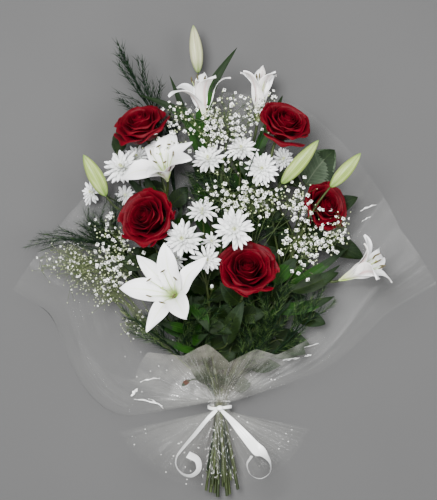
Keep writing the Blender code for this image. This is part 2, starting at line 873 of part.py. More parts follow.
def chrysanthemum_stem(number):
    """A branching stem with a small cup under each of its heads."""
    name = f"chrysanthemum_stem_{number}"
    pieces = [runs[name]]
    top = STEMS[name][1][1]
    for key, (_, facing, radius, owner) in HEADS.items():
        if owner == number:
            seat = head_frame(key).translation - facing * SEAT_GAP
            heights = (top - 6, top - 20, top - 34, top - 50, top - 70)
            own = (f"chrysanthemum_{key:02d}",)
            tip = seat - facing * CUP_DEPTH
            cup = radius * CUP_WIDTH
            pieces.append(stalk(name, heights, tip, facing, 1.4, 2, own, cup))
    join_node(name, pieces, "stem_green")


# The film wrap: rays from the waist, flat on the table behind and open in front


WAIST_RADIUS = BUNDLE_RADIUS + 3.4
WAIST_HALF_LENGTH = 7
WRAP_COLUMNS = 24
WRAP_FAN = 60
WRAP_FRONT_LIFT = 46
SKIRT_FAN = 78
SKIRT_LIFT = 13
SIDE_RISE = 18
SIDE_FROM = 0.62
PLEAT_DEPTH = 2.5
LIFT_CURVE = 0.9
RIM_CURVE = 0.6
SIDE_LENGTH = 320
# How soon the film reaches the table behind, and how far the skirt is drawn back in front
TABLE_SHARE = 2.2
SKIRT_FRONT = 0.86
BACK_REACH = (345, 352, 376, 430, 476, 470, 420, 375, 362)
FRONT_REACH = 118
SKIRT_REACH = (142, 128, 118, 122, 124)
FLAT_FROM = 70
# Rows of the film from the skirt's hem to the upper rim: side of the tie, share of the reach
WRAP_ROWS = (
    (-1, 1),
    (-1, 0.5),
    (-1, 0),
    (1, 0),
    (1, 0.08),
    (1, 0.2),
    (1, 0.42),
    (1, 0.7),
    (1, 1),
)


def wrap_point(around, side, share):
    """A point of the film's outer face on the ray that leaves the waist at this angle."""
    across, front = math.cos(around), max(math.sin(around), 0)
    back = max(-math.sin(around), 0)
    right = (across + 1) / 2
    if side > 0:
        reach = share * lerp(at_share(BACK_REACH, right), FRONT_REACH, front**RIM_CURVE)
        turn, lift = math.radians(WRAP_FAN) * across, math.radians(WRAP_FRONT_LIFT)
    else:
        reach = share * at_share(SKIRT_REACH, right) * lerp(1, SKIRT_FRONT, front)
        turn, lift = math.radians(SKIRT_FAN) * across, math.radians(SKIRT_LIFT)
    lift *= front**LIFT_CURVE
    x = TIE.x + WAIST_RADIUS * across + reach * math.sin(turn) * math.cos(lift)
    y = TIE.y + side * (WAIST_HALF_LENGTH + reach * math.cos(turn) * math.cos(lift))
    on_table = smooth(reach / FLAT_FROM) * min(TABLE_SHARE * back, 1)
    z = (TIE.z + WAIST_RADIUS * math.sin(around)) * (1 - on_table) + reach * math.sin(lift)
    edge = max((abs(across) - SIDE_FROM) / (1 - SIDE_FROM), 0)
    z += SIDE_RISE * edge * smooth(reach / SIDE_LENGTH)
    return Vector((x, y, z))


def build_wrap():
    bm = bmesh.new()
    last = len(WRAP_ROWS) - 1
    bmesh.ops.create_grid(bm, x_segments=WRAP_COLUMNS, y_segments=last, size=1)
    for vert in bm.verts:
        side, share = WRAP_ROWS[round((vert.co.y + 1) / 2 * last)]
        around = math.pi * (vert.co.x + 0.5)
        column = round((vert.co.x + 1) / 2 * WRAP_COLUMNS)
        vert.co = wrap_point(around, side, share)
        fold = PLEAT_DEPTH * share * smooth(1 + 1.5 * math.sin(around))
        vert.co.z += fold * (1 + (-1) ** column)
    bmesh.ops.remove_doubles(bm, verts=bm.verts, dist=0.01)
    bmesh.ops.triangulate(bm, faces=bm.faces, quad_method="SHORT_EDGE")
    finish_node("film_wrap", thicken(as_object("film", bm), FILM_THICKNESS, 1), "clear_film")


# The binding inside the film's waist, and the ribbon tied over it


TWINE_GAP = 0.3
RIBBON_BAND_GAP = 0.8
KNOT_GAP = 0.5
KNOT_RADII = (8, 6.5, 5)
# Each tail as rows of (x, y, height over the film below, twist in degrees)
RIBBON_TAILS = (
    (
        (6, -243, 3.5, 0),
        (26, -262, 5, 8),
        (46, -283, 5, 14),
        (60, -306, 5, 10),
        (63, -326, 8, -30),
        (52, -338, 12, -80),
        (38, -330, 10, -130),
        (36, -316, 6, -160),
    ),
    (
        (-3, -243, 3.5, 0),
        (-22, -264, 5, -10),
        (-44, -290, 5, -14),
        (-60, -312, 6, 20),
        (-56, -330, 10, 70),
        (-40, -338, 11, 120),
        (-28, -326, 6, 160),
    ),
)


def build_twine():
    bpy.ops.mesh.primitive_torus_add(
        major_segments=24,
        minor_segments=3,
        major_radius=BUNDLE_RADIUS + TWINE_RADIUS + TWINE_GAP,
        minor_radius=TWINE_RADIUS,
    )
    ring = bpy.context.object
    ring.data.transform(pointing(TIE, (0, 1, 0)))
    finish_node("binding_twine", ring, "binding_twine")


def height_of_film(x, y):
    """The top of the film here, or the table."""
    hit = taken_space["film_wrap"].ray_cast(Vector((x, y, 400)), -UP)[0]
    return hit.z if hit else 0


def ribbon_tail(route):
    points = [Vector((x, y, height_of_film(x, y) + above)) for x, y, above, _ in route]
    last = len(points) - 1
    bm = bmesh.new()
    bmesh.ops.create_grid(bm, x_segments=1, y_segments=last, size=1)
    for vert in bm.verts:
        row = round((vert.co.y + 1) / 2 * last)
        run = (points[min(row + 1, last)] - points[max(row - 1, 0)]).normalized()
        twist = Matrix.Rotation(math.radians(route[row][3]), 3, run)
        half = RIBBON_WIDTH / 2 * (0.6 if row == 0 else 1)
        vert.co = points[row] + twist @ run.cross(UP).normalized() * half * vert.co.x
    bmesh.ops.triangulate(bm, faces=bm.faces, quad_method="SHORT_EDGE")
    return thicken(as_object("tail", bm), RIBBON_THICKNESS)


def build_ribbon():
    """A band round the film's waist with its knot in front and two curling tails."""
    bm = bmesh.new()
    bmesh.ops.create_cone(
        bm,
        cap_ends=False,
        segments=16,
        radius1=WAIST_RADIUS + RIBBON_BAND_GAP,
        radius2=WAIST_RADIUS + RIBBON_BAND_GAP,
        depth=2 * WAIST_HALF_LENGTH - 2,
        matrix=pointing(TIE, (0, 1, 0)),
    )
    bmesh.ops.recalc_face_normals(bm, faces=bm.faces)
    band = thicken(as_object("band", bm), RIBBON_THICKNESS, 1)
    knot_height = WAIST_RADIUS + KNOT_GAP + KNOT_RADII[2]
    knot = ball(TIE + UP * knot_height, KNOT_RADII, around=8, rings=4)
    join_node("ribbon", [band, knot, *map(ribbon_tail, RIBBON_TAILS)], "white_ribbon")


# Gypsophila: a main twig, wiry branches and small round florets


SPRAYS = {
    # number: clouds of florets, each as (centre, radii, number of florets)
    1: (((4, 214, 102), (44, 30, 10), 8), ((46, 222, 90), (22, 20, 8), 4)),
    2: (((44, 80, 128), (46, 26, 8), 8), ((100, 74, 118), (34, 20, 10), 4)),
    3: (((-236, -50, 34), (44, 36, 12), 8), ((-170, -72, 40), (36, 26, 12), 4)),
    4: (((-158, -10, 78), (34, 34, 14), 8), ((-172, 38, 74), (26, 20, 12), 4)),
    5: (((140, 4, 104), (40, 32, 10), 8), ((186, 30, 92), (22, 22, 10), 4)),
}
TWIG_RADIUS = 0.6
TWIG_LENGTH = 15
KNOT_RADIUS = 1.9
GROUP = 4
CLOUD_FILL = 0.75
FLORET_SPACING = 2.2
TRIES = 80


def random_inside(draw, radii):
    while True:
        point = Vector((draw.uniform(-1, 1), draw.uniform(-1, 1), draw.uniform(-1, 1)))
        if point.length <= 1:
            return Vector(a * b for a, b in zip(point, radii))


def drop(pieces):
    for piece in pieces:
        bpy.data.objects.remove(piece)


def floret_group(draw, hub, own):
    """Florets on fine twigs round one hub, or none if they don't all find room."""
    pieces = [ball(hub, (KNOT_RADIUS,) * 3, around=4)]
    centres = []
    for _ in range(TRIES):
        if len(centres) == GROUP:
            return pieces
        away = random_inside(draw, (1, 1, 0.7)).normalized()
        tip = hub + away * draw.uniform(0.6, 1) * TWIG_LENGTH
        if any((tip - other).length < FLORET_RADIUS * FLORET_SPACING for other in centres):
            continue
        floret = ball(tip, (FLORET_RADIUS,) * 3, away)
        twig = rod(hub, tip, TWIG_RADIUS)
        if fits(floret, own) and fits(twig, own):
            centres.append(tip)
            pieces += [twig, floret]
        else:
            drop([twig, floret])
    drop(pieces)
    return []


def spray(number):
    name = f"gypsophila_{number}"
    draw = random.Random(100 + number)
    pieces = [runs[name]]
    top = STEMS[name][1][1]
    for centre, radii, count in SPRAYS[number]:
        placed = 0
        for _ in range(TRIES):
            if placed >= count:
                break
            hub = Vector(centre) + random_inside(draw, radii) * CLOUD_FILL
            root = stem_point(name, top - draw.choice((2, 14, 26)))
            twig = rod(root, hub, 0.7, 0.5)
            group = floret_group(draw, hub, (name,)) if fits(twig, (name,)) else []
            if not group:
                drop([twig])
                continue
            pieces += [twig, *group]
            placed += GROUP
    join_node(name, pieces, "gypsophila")


# Ferns: a rib with side branches in one plane, feathered with needles


FRONDS = {
    # number: (end of the rib, its direction there, branches on each side, their length)
    1: ((-150, 306, 60), unit(-0.4, 0.9, 0.05), 7, 40),
    2: ((70, 184, 132), unit(0.3, 0.9, 0.1), 6, 36),
    3: ((-300, 0, 56), unit(-0.95, 0.2, 0.05), 7, 40),
    4: ((-126, -100, 98), unit(-0.7, 0.7, 0.1), 6, 38),
    5: ((112, -70, 92), unit(0.7, 0.7, 0.1), 6, 38),
    6: ((162, -92, 70), unit(0.9, 0.3, 0.05), 6, 34),
}
RIB_SEGMENTS = 4
NEEDLE_RADIUS = 0.5


def lay_fern_run(number):
    end, arrive = FRONDS[number][:2]
    lay_run(f"fern_{number}", Vector(end), arrive, 0.9, RIB_SEGMENTS)


def needle(draw, name, root, run, flat, length):
    """A long needle at the first random slant that keeps clear, or none."""
    for _ in range(10):
        lean, lift = draw.uniform(0.6, 1.1), draw.uniform(-0.3, 0.5)
        out = (flat + run * lean + UP * lift).normalized()
        made = rod(root, root + out * length, NEEDLE_RADIUS)
        if fits(made, (name,)):
            return [made]
        drop([made])
    return []


def frond(number):
    name = f"fern_{number}"
    _, _, pairs, reach = FRONDS[number]
    draw = random.Random(200 + number)
    pieces = [runs[name]]
    rib = run_lines[name][-RIB_SEGMENTS - 1 :]
    for index in range(pairs):
        share = lerp(0.06, 0.96, index / (pairs - 1))
        root = at_share(rib, share)
        run = (at_share(rib, min(share + 0.1, 1)) - at_share(rib, max(share - 0.1, 0))).normalized()
        length = reach * math.sin(math.pi * lerp(0.3, 0.86, share))
        for side in (-1, 1):
            flat = run.cross(UP).normalized() * side
            pieces += needle(draw, name, root, run, flat, length * draw.uniform(0.8, 1))
    join_node(name, pieces, "fern_green")


# Broad leaves


BROAD_LEAVES = (
    # (stem, root of the blade, tip, facing, half width)
    (1, (132, 98, 48), (176, 152, 50), UP, 27),
    (1, (146, 20, 48), (222, -14, 44), unit(0.2, 0.2, 1), 17),
    (1, (156, 60, 42), (212, 80, 42), UP, 14),
    (2, (116, -96, 48), (162, -112, 48), unit(0, 0.3, 1), 14),
    (2, (96, -136, 40), (132, -166, 44), unit(0, 0.3, 1), 14),
    (3, (-26, -104, 92), (22, -124, 98), unit(0, 0.2, 1), 11),
)


def leaf_stem(number):
    name = f"leaf_stem_{number}"
    pieces = [runs[name]]
    top = STEMS[name][1][1]
    for owner, root, tip, facing, half_width in BROAD_LEAVES:
        if owner == number:
            root, tip = Vector(root), Vector(tip)
            run = (tip - root).normalized()
            heights = (top - 6, top - 24, top - 44, top - 64)
            pieces.append(stalk(name, heights, root + run * 4, run, 1.2))
            pieces.append(clear_leaf(name, root, tip, half_width, facing, rows=5))
    join_node(name, pieces, "leaf_green")


def build_bouquet():
    make_materials()
    for number in ROSES:
        rose_bloom(number)
    for number in LILIES:
        lily_bloom(number)
    for number in BUDS:
        lily_bud(number)
    for number in HEADS:
        chrysanthemum_head(number)
    build_wrap()
    build_twine()
    build_ribbon()
    for number in ROSES:
        lay_rose_stem(number)
    for number in LILIES:
        lay_lily_stem(number)
    for kind, numbers in (("chrysanthemum_stem", (1, 2, 3)), ("leaf_stem", (1, 2, 3))):
        for number in numbers:
            lay_run(f"{kind}_{number}")
    for number in FRONDS:
        lay_fern_run(number)
    for number in SPRAYS:
        lay_run(f"gypsophila_{number}")
    for number in LILIES:
        lily_stem(number)
    for number in (1, 2, 3):
        chrysanthemum_stem(number)
    for number in ROSES:
        rose_stem(number)
    for number in (1, 2, 3):
        leaf_stem(number)
    for number in FRONDS:
        frond(number)
    for number in SPRAYS:
        spray(number)
    bpy.data.collections.remove(scrap)


build_bouquet()
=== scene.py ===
import math
import random

import bmesh
import bpy
import numpy as np
from mathutils import Matrix, Vector, noise
from mathutils.bvhtree import BVHTree


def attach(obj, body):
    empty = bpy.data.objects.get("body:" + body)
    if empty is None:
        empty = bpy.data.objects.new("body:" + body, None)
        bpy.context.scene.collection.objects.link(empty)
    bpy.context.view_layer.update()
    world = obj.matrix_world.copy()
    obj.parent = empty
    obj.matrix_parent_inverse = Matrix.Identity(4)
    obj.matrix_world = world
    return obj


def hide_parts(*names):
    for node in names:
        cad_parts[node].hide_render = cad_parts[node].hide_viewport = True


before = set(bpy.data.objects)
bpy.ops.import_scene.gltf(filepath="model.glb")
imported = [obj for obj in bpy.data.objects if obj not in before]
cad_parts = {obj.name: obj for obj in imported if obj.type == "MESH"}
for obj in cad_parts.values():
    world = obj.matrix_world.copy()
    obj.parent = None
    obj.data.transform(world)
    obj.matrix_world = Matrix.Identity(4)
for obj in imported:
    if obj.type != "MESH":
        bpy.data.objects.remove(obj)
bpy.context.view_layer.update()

# Flower bouquet in a clear wrap, lying on its back. The layout is in millimetres.
mm = 0.001
up = Vector((0, 0, 1))
scene = bpy.context.scene
golden = 137.5


# small helpers

def mix(low, high, share):
    return low + (high - low) * share


def smooth(share):
    share = min(max(share, 0), 1)
    return share * share * (3 - 2 * share)


def heading(*xyz):
    return Vector(xyz).normalized()


def turned(degrees):
    return Matrix.Rotation(math.radians(degrees), 4, "Z")


def pointing(base, axis, spin=0.0):
    turn = Vector(axis).to_track_quat("Z", "Y").to_matrix().to_4x4()
    return Matrix.Translation(base) @ turn @ turned(spin)


def straight(values, share):  # read off a list of evenly spaced values
    place = min(max(share, 0), 1) * (len(values) - 1)
    index = min(int(place), len(values) - 2)
    return mix(values[index], values[index + 1], place - index)


def along(points, share):  # read off the smooth line through the points
    place = min(max(share, 0), 1) * (len(points) - 1)
    index = min(int(place), len(points) - 2)
    step = place - index
    start, end = points[index], points[index + 1]
    before = points[index - 1] if index else start * 2 - end
    after = points[index + 2] if index + 2 < len(points) else end * 2 - start
    return 0.5 * (
        start * 2
        + (end - before) * step
        + (before * 2 - start * 5 + end * 4 - after) * step ** 2
        + (start * 3 - before - end * 3 + after) * step ** 3
    )


def leaningLine(length, tilts, count):  # (radius, height) points that lean from the axis by the tilts
    point = Vector((0, 0))
    points = [point]
    for step in range(1, count + 1):
        lean = math.radians(straight(tilts, (step - 0.5) / count))
        point = point + Vector((math.sin(lean), math.cos(lean))) * length / count
        points.append(point)
    return points


# a petal, leaf or film: a grid whose points are placed by shape(side -1..1, share 0..1)
def sheetOf(shape, across, rows):
    bm = bmesh.new()
    bm.loops.layers.uv.new("UVMap")
    bmesh.ops.create_grid(bm, x_segments=across, y_segments=rows, size=1, calc_uvs=True)
    for vert in bm.verts:
        vert.co = shape(vert.co.x, (vert.co.y + 1) / 2)
    return bm


def thicken(bm, thickness, backFinish=0):  # the new wall lies along the normals and takes backFinish
    made = bmesh.ops.solidify(bm, geom=bm.faces[:], thickness=thickness)["geom"]
    for part in made:
        if isinstance(part, bmesh.types.BMFace):
            part.material_index = backFinish
    return bm


# a round stem, twig or filament through the points
def tubeOf(points, radii, sides=8, rows=12):
    stations = [along(points, row / rows) for row in range(rows + 1)]
    runs = [stations[min(i + 1, rows)] - stations[max(i - 1, 0)] for i in range(rows + 1)]
    turn = runs[0].to_track_quat("Z", "Y")
    turns = [turn]
    for last, run in zip(runs, runs[1:]):
        turn = last.rotation_difference(run) @ turn
        turns.append(turn)

    def shape(side, share):
        row = round(share * rows)
        angle = math.pi * side
        ring = Vector((math.cos(angle), math.sin(angle), 0)) * straight(radii, share)
        return stations[row] + turns[row] @ ring

    bm = sheetOf(shape, sides, rows)
    bmesh.ops.remove_doubles(bm, verts=bm.verts, dist=1e-4)
    bmesh.ops.holes_fill(bm, edges=bm.edges)
    bmesh.ops.recalc_face_normals(bm, faces=bm.faces)
    return bm


def ellipsoid(centre, radii, axis=up, around=12, rings=8):
    bm = bmesh.new()
    bm.loops.layers.uv.new("UVMap")
    bmesh.ops.create_uvsphere(bm, u_segments=around, v_segments=rings, radius=1, calc_uvs=True)
    place = pointing(centre, axis) @ Matrix.Diagonal((*radii, 1))
    bmesh.ops.transform(bm, matrix=place, verts=bm.verts)
    return bm


def shapeMesh(bm, finish=None):  # a bmesh as a mesh that can be stamped many times
    if finish is not None:
        for face in bm.faces:
            face.material_index = finish
    mesh = bpy.data.meshes.new("shape")
    bm.to_mesh(mesh)
    bm.free()
    return mesh


def stamp(piece, mesh, place):
    copy = mesh.copy()
    copy.transform(place)
    piece.from_mesh(copy)
    bpy.data.meshes.remove(copy)


def addTo(piece, part, place=None, finish=None):
    mesh = shapeMesh(part, finish)
    if place is not None:
        mesh.transform(place)
    piece.from_mesh(mesh)
    bpy.data.meshes.remove(mesh)


# gives a piece its name, real scale, materials and its place in the frame
def finishPiece(bm, name, finishes, nodes, sharp=60):
    mesh = bpy.data.meshes.new(name)
    bm.to_mesh(mesh)
    bm.free()
    mesh.transform(Matrix.Scale(mm, 4))
    mesh.shade_smooth()
    if sharp:
        mesh.set_sharp_from_angle(angle=math.radians(sharp))
    for finish in finishes:
        mesh.materials.append(finish)
    piece = bpy.data.objects.new(name, mesh)
    scene.collection.objects.link(piece)
    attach(piece, "root")
    if nodes:
        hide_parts(*nodes)
    return piece


# material helpers

def newFinish(name, roughness, **sockets):
    material = bpy.data.materials.new(name)
    material.use_nodes = True
    shader = material.node_tree.nodes["Principled BSDF"]
    shader.inputs["Roughness"].default_value = roughness
    for socket, value in sockets.items():
        shader.inputs[socket.replace("_", " ")].default_value = value
    return material, material.node_tree, shader


def addNode(tree, kind, **settings):
    made = tree.nodes.new("ShaderNode" + kind)
    for key, value in settings.items():
        setattr(made, key, value)
    return made


def coordinates(tree, source, scale=(1, 1, 1)):
    place = addNode(tree, "Mapping")
    place.inputs["Scale"].default_value = scale
    tree.links.new(addNode(tree, "TexCoord").outputs[source], place.inputs["Vector"])
    return place.outputs["Vector"]


def mottle(tree, vector, scale, detail=3.0, distortion=0.0):
    made = addNode(tree, "TexNoise")
    made.inputs["Scale"].default_value = scale
    made.inputs["Detail"].default_value = detail
    made.inputs["Distortion"].default_value = distortion
    tree.links.new(vector, made.inputs["Vector"])
    return made.outputs["Fac"]


def ramp(tree, value, stops):
    made = addNode(tree, "ValToRGB")
    elements = made.color_ramp.elements
    while len(elements) < len(stops):
        elements.new(0.5)
    for element, (position, colour) in zip(elements, stops):
        element.position = position
        element.color = (*colour, 1) if len(colour) == 3 else colour
    tree.links.new(value, made.inputs["Fac"])
    return made.outputs["Color"]


def grey(level):
    return (level, level, level)


def mixColours(tree, share, first, second, kind="MIX"):
    made = addNode(tree, "Mix", data_type="RGBA", blend_type=kind)
    for socket, value in ((0, share), (6, first), (7, second)):
        if isinstance(value, (float, int)):
            made.inputs[socket].default_value = value
        elif isinstance(value, tuple):
            made.inputs[socket].default_value = (*value, 1)
        else:
            tree.links.new(value, made.inputs[socket])
    return made.outputs[2]


def maths(tree, kind, first, second=0.5):
    made = addNode(tree, "Math", operation=kind)
    for socket, value in enumerate((first, second)):
        if isinstance(value, (float, int)):
            made.inputs[socket].default_value = value
        else:
            tree.links.new(value, made.inputs[socket])
    return made.outputs[0]


def uvParts(tree):
    parts = addNode(tree, "SeparateXYZ")
    tree.links.new(addNode(tree, "TexCoord").outputs["UV"], parts.inputs[0])
    return parts.outputs["X"], parts.outputs["Y"]


def fromMiddle(tree, across):  # 0 on the midrib, 1 on the edge
    return maths(tree, "MULTIPLY", maths(tree, "ABSOLUTE", maths(tree, "SUBTRACT", across)), 2)


def bump(tree, shader, height, strength, distance):
    made = addNode(tree, "Bump")
    made.inputs["Strength"].default_value = strength
    made.inputs["Distance"].default_value = distance
    tree.links.new(height, made.inputs["Height"])
    tree.links.new(made.outputs["Normal"], shader.inputs["Normal"])


# Stage: floor, lights and camera

stageSet = {
    "cameraHeight": 3.0,
    "seenHeight": 0.77,
    "floorSize": 6.0,
    "floorLevel": -0.0003,
    "floorTones": (0.0488, 0.0528),
    "skyTone": (0.97, 0.98, 1.0, 1),
    "skyStrength": 0.46,
}
lamps = {
    # name: (place, target, size, power)
    "key": ((-0.5, 0.6, 2.7), (0, 0, 0), 1.4, 200),
    "fill": ((1.5, 0.1, 2.2), (0, 0, 0), 1.6, 54),
    "low": ((-0.2, -1.9, 1.7), (0, -0.1, 0), 1.6, 36),
}


def makeCamera():
    data = bpy.data.cameras.new("camera")
    data.sensor_fit = "VERTICAL"
    data.sensor_height = 24
    data.lens = data.sensor_height * stageSet["cameraHeight"] / stageSet["seenHeight"]
    data.clip_end = 30
    camera = bpy.data.objects.new("camera", data)
    camera.location = (0, 0, stageSet["cameraHeight"])
    scene.collection.objects.link(camera)
    scene.camera = camera


def makeFloor():
    bm = bmesh.new()
    bmesh.ops.create_grid(bm, x_segments=8, y_segments=8, size=stageSet["floorSize"])
    bmesh.ops.translate(bm, verts=bm.verts, vec=(0, 0, stageSet["floorLevel"]))
    mesh = bpy.data.meshes.new("floor")
    bm.to_mesh(mesh)
    bm.free()
    floor = bpy.data.objects.new("floor", mesh)
    scene.collection.objects.link(floor)
    paint, tree, shader = newFinish("floorPaint", 0.75)
    patches = mottle(tree, coordinates(tree, "Object"), 3, 2)
    dark, pale = stageSet["floorTones"]
    colour = ramp(tree, patches, ((0.3, grey(dark)), (0.7, grey(pale))))
    tree.links.new(colour, shader.inputs["Base Color"])
    mesh.materials.append(paint)


def makeLights():
    for name, (place, target, size, power) in lamps.items():
        light = bpy.data.lights.new(name, "AREA")
        light.shape = "DISK"
        light.size = size
        light.energy = power
        lamp = bpy.data.objects.new(name, light)
        lamp.location = place
        lamp.rotation_euler = (Vector(target) - Vector(place)).to_track_quat("-Z", "Y").to_euler()
        scene.collection.objects.link(lamp)
    world = bpy.data.worlds.new("studio")
    world.use_nodes = True
    sky = world.node_tree.nodes["Background"]
    sky.inputs["Color"].default_value = stageSet["skyTone"]
    sky.inputs["Strength"].default_value = stageSet["skyStrength"]
    scene.world = world


# Finishes, with their colours as red, green and blue in linear light

ownSockets = {
    # name: shader sockets that this finish sets for itself
    "roseVelvet": {
        "Sheen_Weight": 0.02, "Sheen_Roughness": 0.4, "Sheen_Tint": (1, 0.1, 0.25, 1),
        "Specular_IOR_Level": 0.1,
    },
    "roseBack": {
        "Sheen_Weight": 0.02, "Sheen_Roughness": 0.35, "Sheen_Tint": (1, 0.15, 0.3, 1),
        "Specular_IOR_Level": 0.1,
    },
    "needle": {"Specular_IOR_Level": 0.12},
    "litNeedle": {"Specular_IOR_Level": 0.2},
    "stem": {"Specular_IOR_Level": 0.2},
    "satin": {"Sheen_Weight": 0.2},
}
petalTones = {
    # name: (foot, middle, rim, strength of the streaks, roughness, depth of the veins)
    # roses: the near-black foot is painted shade deep in the bloom, and the lighter rim is painted
    # highlight on the petals' edges
    "roseVelvet": (
        (0.004, 0.0001, 0.0004), (0.036, 0.0001, 0.0018), (0.12, 0.0001, 0.006), 0.6, 0.55, 0.4),
    "roseBack": (
        (0.02, 0.0005, 0.0014), (0.062, 0.0001, 0.003), (0.135, 0.0001, 0.008), 0.7, 0.5, 0.5),
    # chrysanthemum petals: the green foot is their own colour, made darker as painted shade between the
    # petals
    "mumPetal": ((0.4, 0.47, 0.26), (0.76, 0.78, 0.76), (0.87, 0.87, 0.89), 0.3, 0.55, 0.4),
    "mumHeart": ((0.36, 0.46, 0.1), (0.6, 0.68, 0.26), (0.8, 0.82, 0.5), 0.3, 0.55, 0.4),
}
lilyTones = {
    # name: (throat, body, rib, width of the rib)
    "lilyInside": ((0.4, 0.56, 0.1), (0.86, 0.86, 0.87), (0.62, 0.72, 0.4), 0.1),
    "lilyBack": ((0.5, 0.55, 0.26), (0.78, 0.75, 0.72), (0.58, 0.3, 0.3), 0.3),
}
budTones = {
    # name: (foot, body, streaks, lines along the seams)
    "budSkin": ((0.07, 0.16, 0.012), (0.19, 0.27, 0.05), (0.5, 0.54, 0.28), (0.09, 0.16, 0.02)),
    "paleBudSkin": ((0.1, 0.19, 0.02), (0.34, 0.36, 0.19), (0.56, 0.5, 0.42), (0.16, 0.12, 0.04)),
}
leafTones = {
    # name: (blade, its lighter patches, rib, roughness, number of side veins)
    "lilyLeaf": ((0.002, 0.014, 0.001), (0.008, 0.036, 0.002), (0.02, 0.06, 0.006), 0.5, 0.5),
    "roseLeaf": ((0.0012, 0.005, 0.0004), (0.005, 0.013, 0.001), (0.012, 0.024, 0.003), 0.6, 9),
    "broadLeaf": ((0.0012, 0.0045, 0.0004), (0.0045, 0.012, 0.001), (0.011, 0.022, 0.003), 0.55, 12),
    "paleLeaf": ((0.022, 0.036, 0.019), (0.048, 0.07, 0.041), (0.085, 0.108, 0.07), 0.55, 12),
    "leafUnder": ((0.004, 0.01, 0.0035), (0.009, 0.019, 0.006), (0.018, 0.032, 0.012), 0.6, 12),
    "dryLeaf": ((0.022, 0.005, 0.002), (0.06, 0.016, 0.006), (0.09, 0.034, 0.014), 0.6, 9),
}
speckledTones = {
    # name: (two close colours, scale of the patches, roughness, depth of the grain, its stretch)
    "filament": ((0.3, 0.42, 0.12), (0.48, 0.58, 0.22), 90, 0.4),
    "anther": ((0.035, 0.03, 0.01), (0.1, 0.075, 0.02), 300, 0.8),
    "floret": ((0.8, 0.81, 0.76), (0.92, 0.92, 0.91), 260, 0.6),
    "floretHeart": ((0.03, 0.04, 0.012), (0.1, 0.12, 0.05), 400, 0.7),
    "youngFloret": ((0.26, 0.32, 0.12), (0.56, 0.6, 0.4), 260, 0.6),
    "twig": ((0.014, 0.03, 0.006), (0.055, 0.08, 0.022), 120, 0.6),
    "paleTwig": ((0.04, 0.06, 0.018), (0.11, 0.135, 0.055), 120, 0.6),
    "needle": ((0.0006, 0.004, 0.0016), (0.004, 0.016, 0.004), 130, 0.6),
    "litNeedle": ((0.012, 0.034, 0.008), (0.05, 0.085, 0.02), 130, 0.6),
    "stem": ((0.008, 0.014, 0.003), (0.034, 0.048, 0.011), 90, 0.45, 0.4, (1, 0.25, 1)),
    "cutEnd": ((0.36, 0.42, 0.2), (0.5, 0.55, 0.3), 400, 0.7),
    "satin": ((0.78, 0.79, 0.78), (0.88, 0.89, 0.88), 40, 0.28, 0.2),
    "jute": ((0.32, 0.22, 0.11), (0.55, 0.42, 0.24), 500, 0.9, 0.8),
    # white strips laid on the film in place of its glints: painted highlights
    "crease": ((0.4, 0.4, 0.38), (0.95, 0.95, 0.95), 190, 0.2, 0.5),
}


def makePetalFinish(name, foot, middle, rim, streak, roughness, depth, **sockets):
    # colour runs from foot to rim, streaked along the veins; on the roses the dark foot is painted shade
    # and the light rim painted highlight, on the chrysanthemums the darker foot is partly painted shade
    material, tree, shader = newFinish(name, roughness, **sockets)
    _, run = uvParts(tree)
    colour = ramp(tree, run, ((0.05, foot), (0.45, middle), (1.0, rim)))
    veins = mottle(tree, coordinates(tree, "UV", (26, 2.2, 1)), 1.6, 3, 0.4)
    patches = mottle(tree, coordinates(tree, "Object"), 55, 3)
    colour = mixColours(tree, ramp(tree, veins, ((0.42, grey(0)), (0.75, grey(streak)))), colour, middle)
    dim = ramp(tree, patches, ((0.3, grey(0.72)), (0.65, grey(1))))
    colour = mixColours(tree, 1.0, colour, dim, "MULTIPLY")
    tree.links.new(colour, shader.inputs["Base Color"])
    bump(tree, shader, veins, depth, 0.0006)
    return material


def makeLilyFinish(name, throat, body, rib, ribWidth):
    material, tree, shader = newFinish(name, 0.42, Specular_IOR_Level=0.4)
    across, run = uvParts(tree)
    colour = ramp(tree, run, ((0.12, throat), (0.36, body), (1.0, body)))
    edge = fromMiddle(tree, across)
    nearRib = ramp(tree, edge, ((0.0, grey(1)), (ribWidth, grey(0))))
    fade = ramp(tree, run, ((0.25, grey(1)), (0.95, grey(0.25))))
    colour = mixColours(tree, maths(tree, "MULTIPLY", nearRib, fade), colour, rib)
    veins = mottle(tree, coordinates(tree, "UV", (34, 1.4, 1)), 1.4, 2, 0.2)
    shade = ramp(tree, veins, ((0.35, grey(0.9)), (0.65, grey(1))))
    colour = mixColours(tree, 1.0, colour, shade, "MULTIPLY")
    tree.links.new(colour, shader.inputs["Base Color"])
    bump(tree, shader, veins, 0.5, 0.0005)
    return material


def makeSpeckledFinish(name, first, second, scale, roughness, depth=0.3, stretch=(1, 1, 1), **sockets):
    # two close colours in soft patches, with a fine bump
    material, tree, shader = newFinish(name, roughness, **sockets)
    patches = mottle(tree, coordinates(tree, "Object", stretch), scale, 4)
    tree.links.new(ramp(tree, patches, ((0.32, first), (0.68, second))), shader.inputs["Base Color"])
    grain = mottle(tree, coordinates(tree, "Object", stretch), scale * 6, 3)
    bump(tree, shader, grain, depth, 0.0004)
    return material


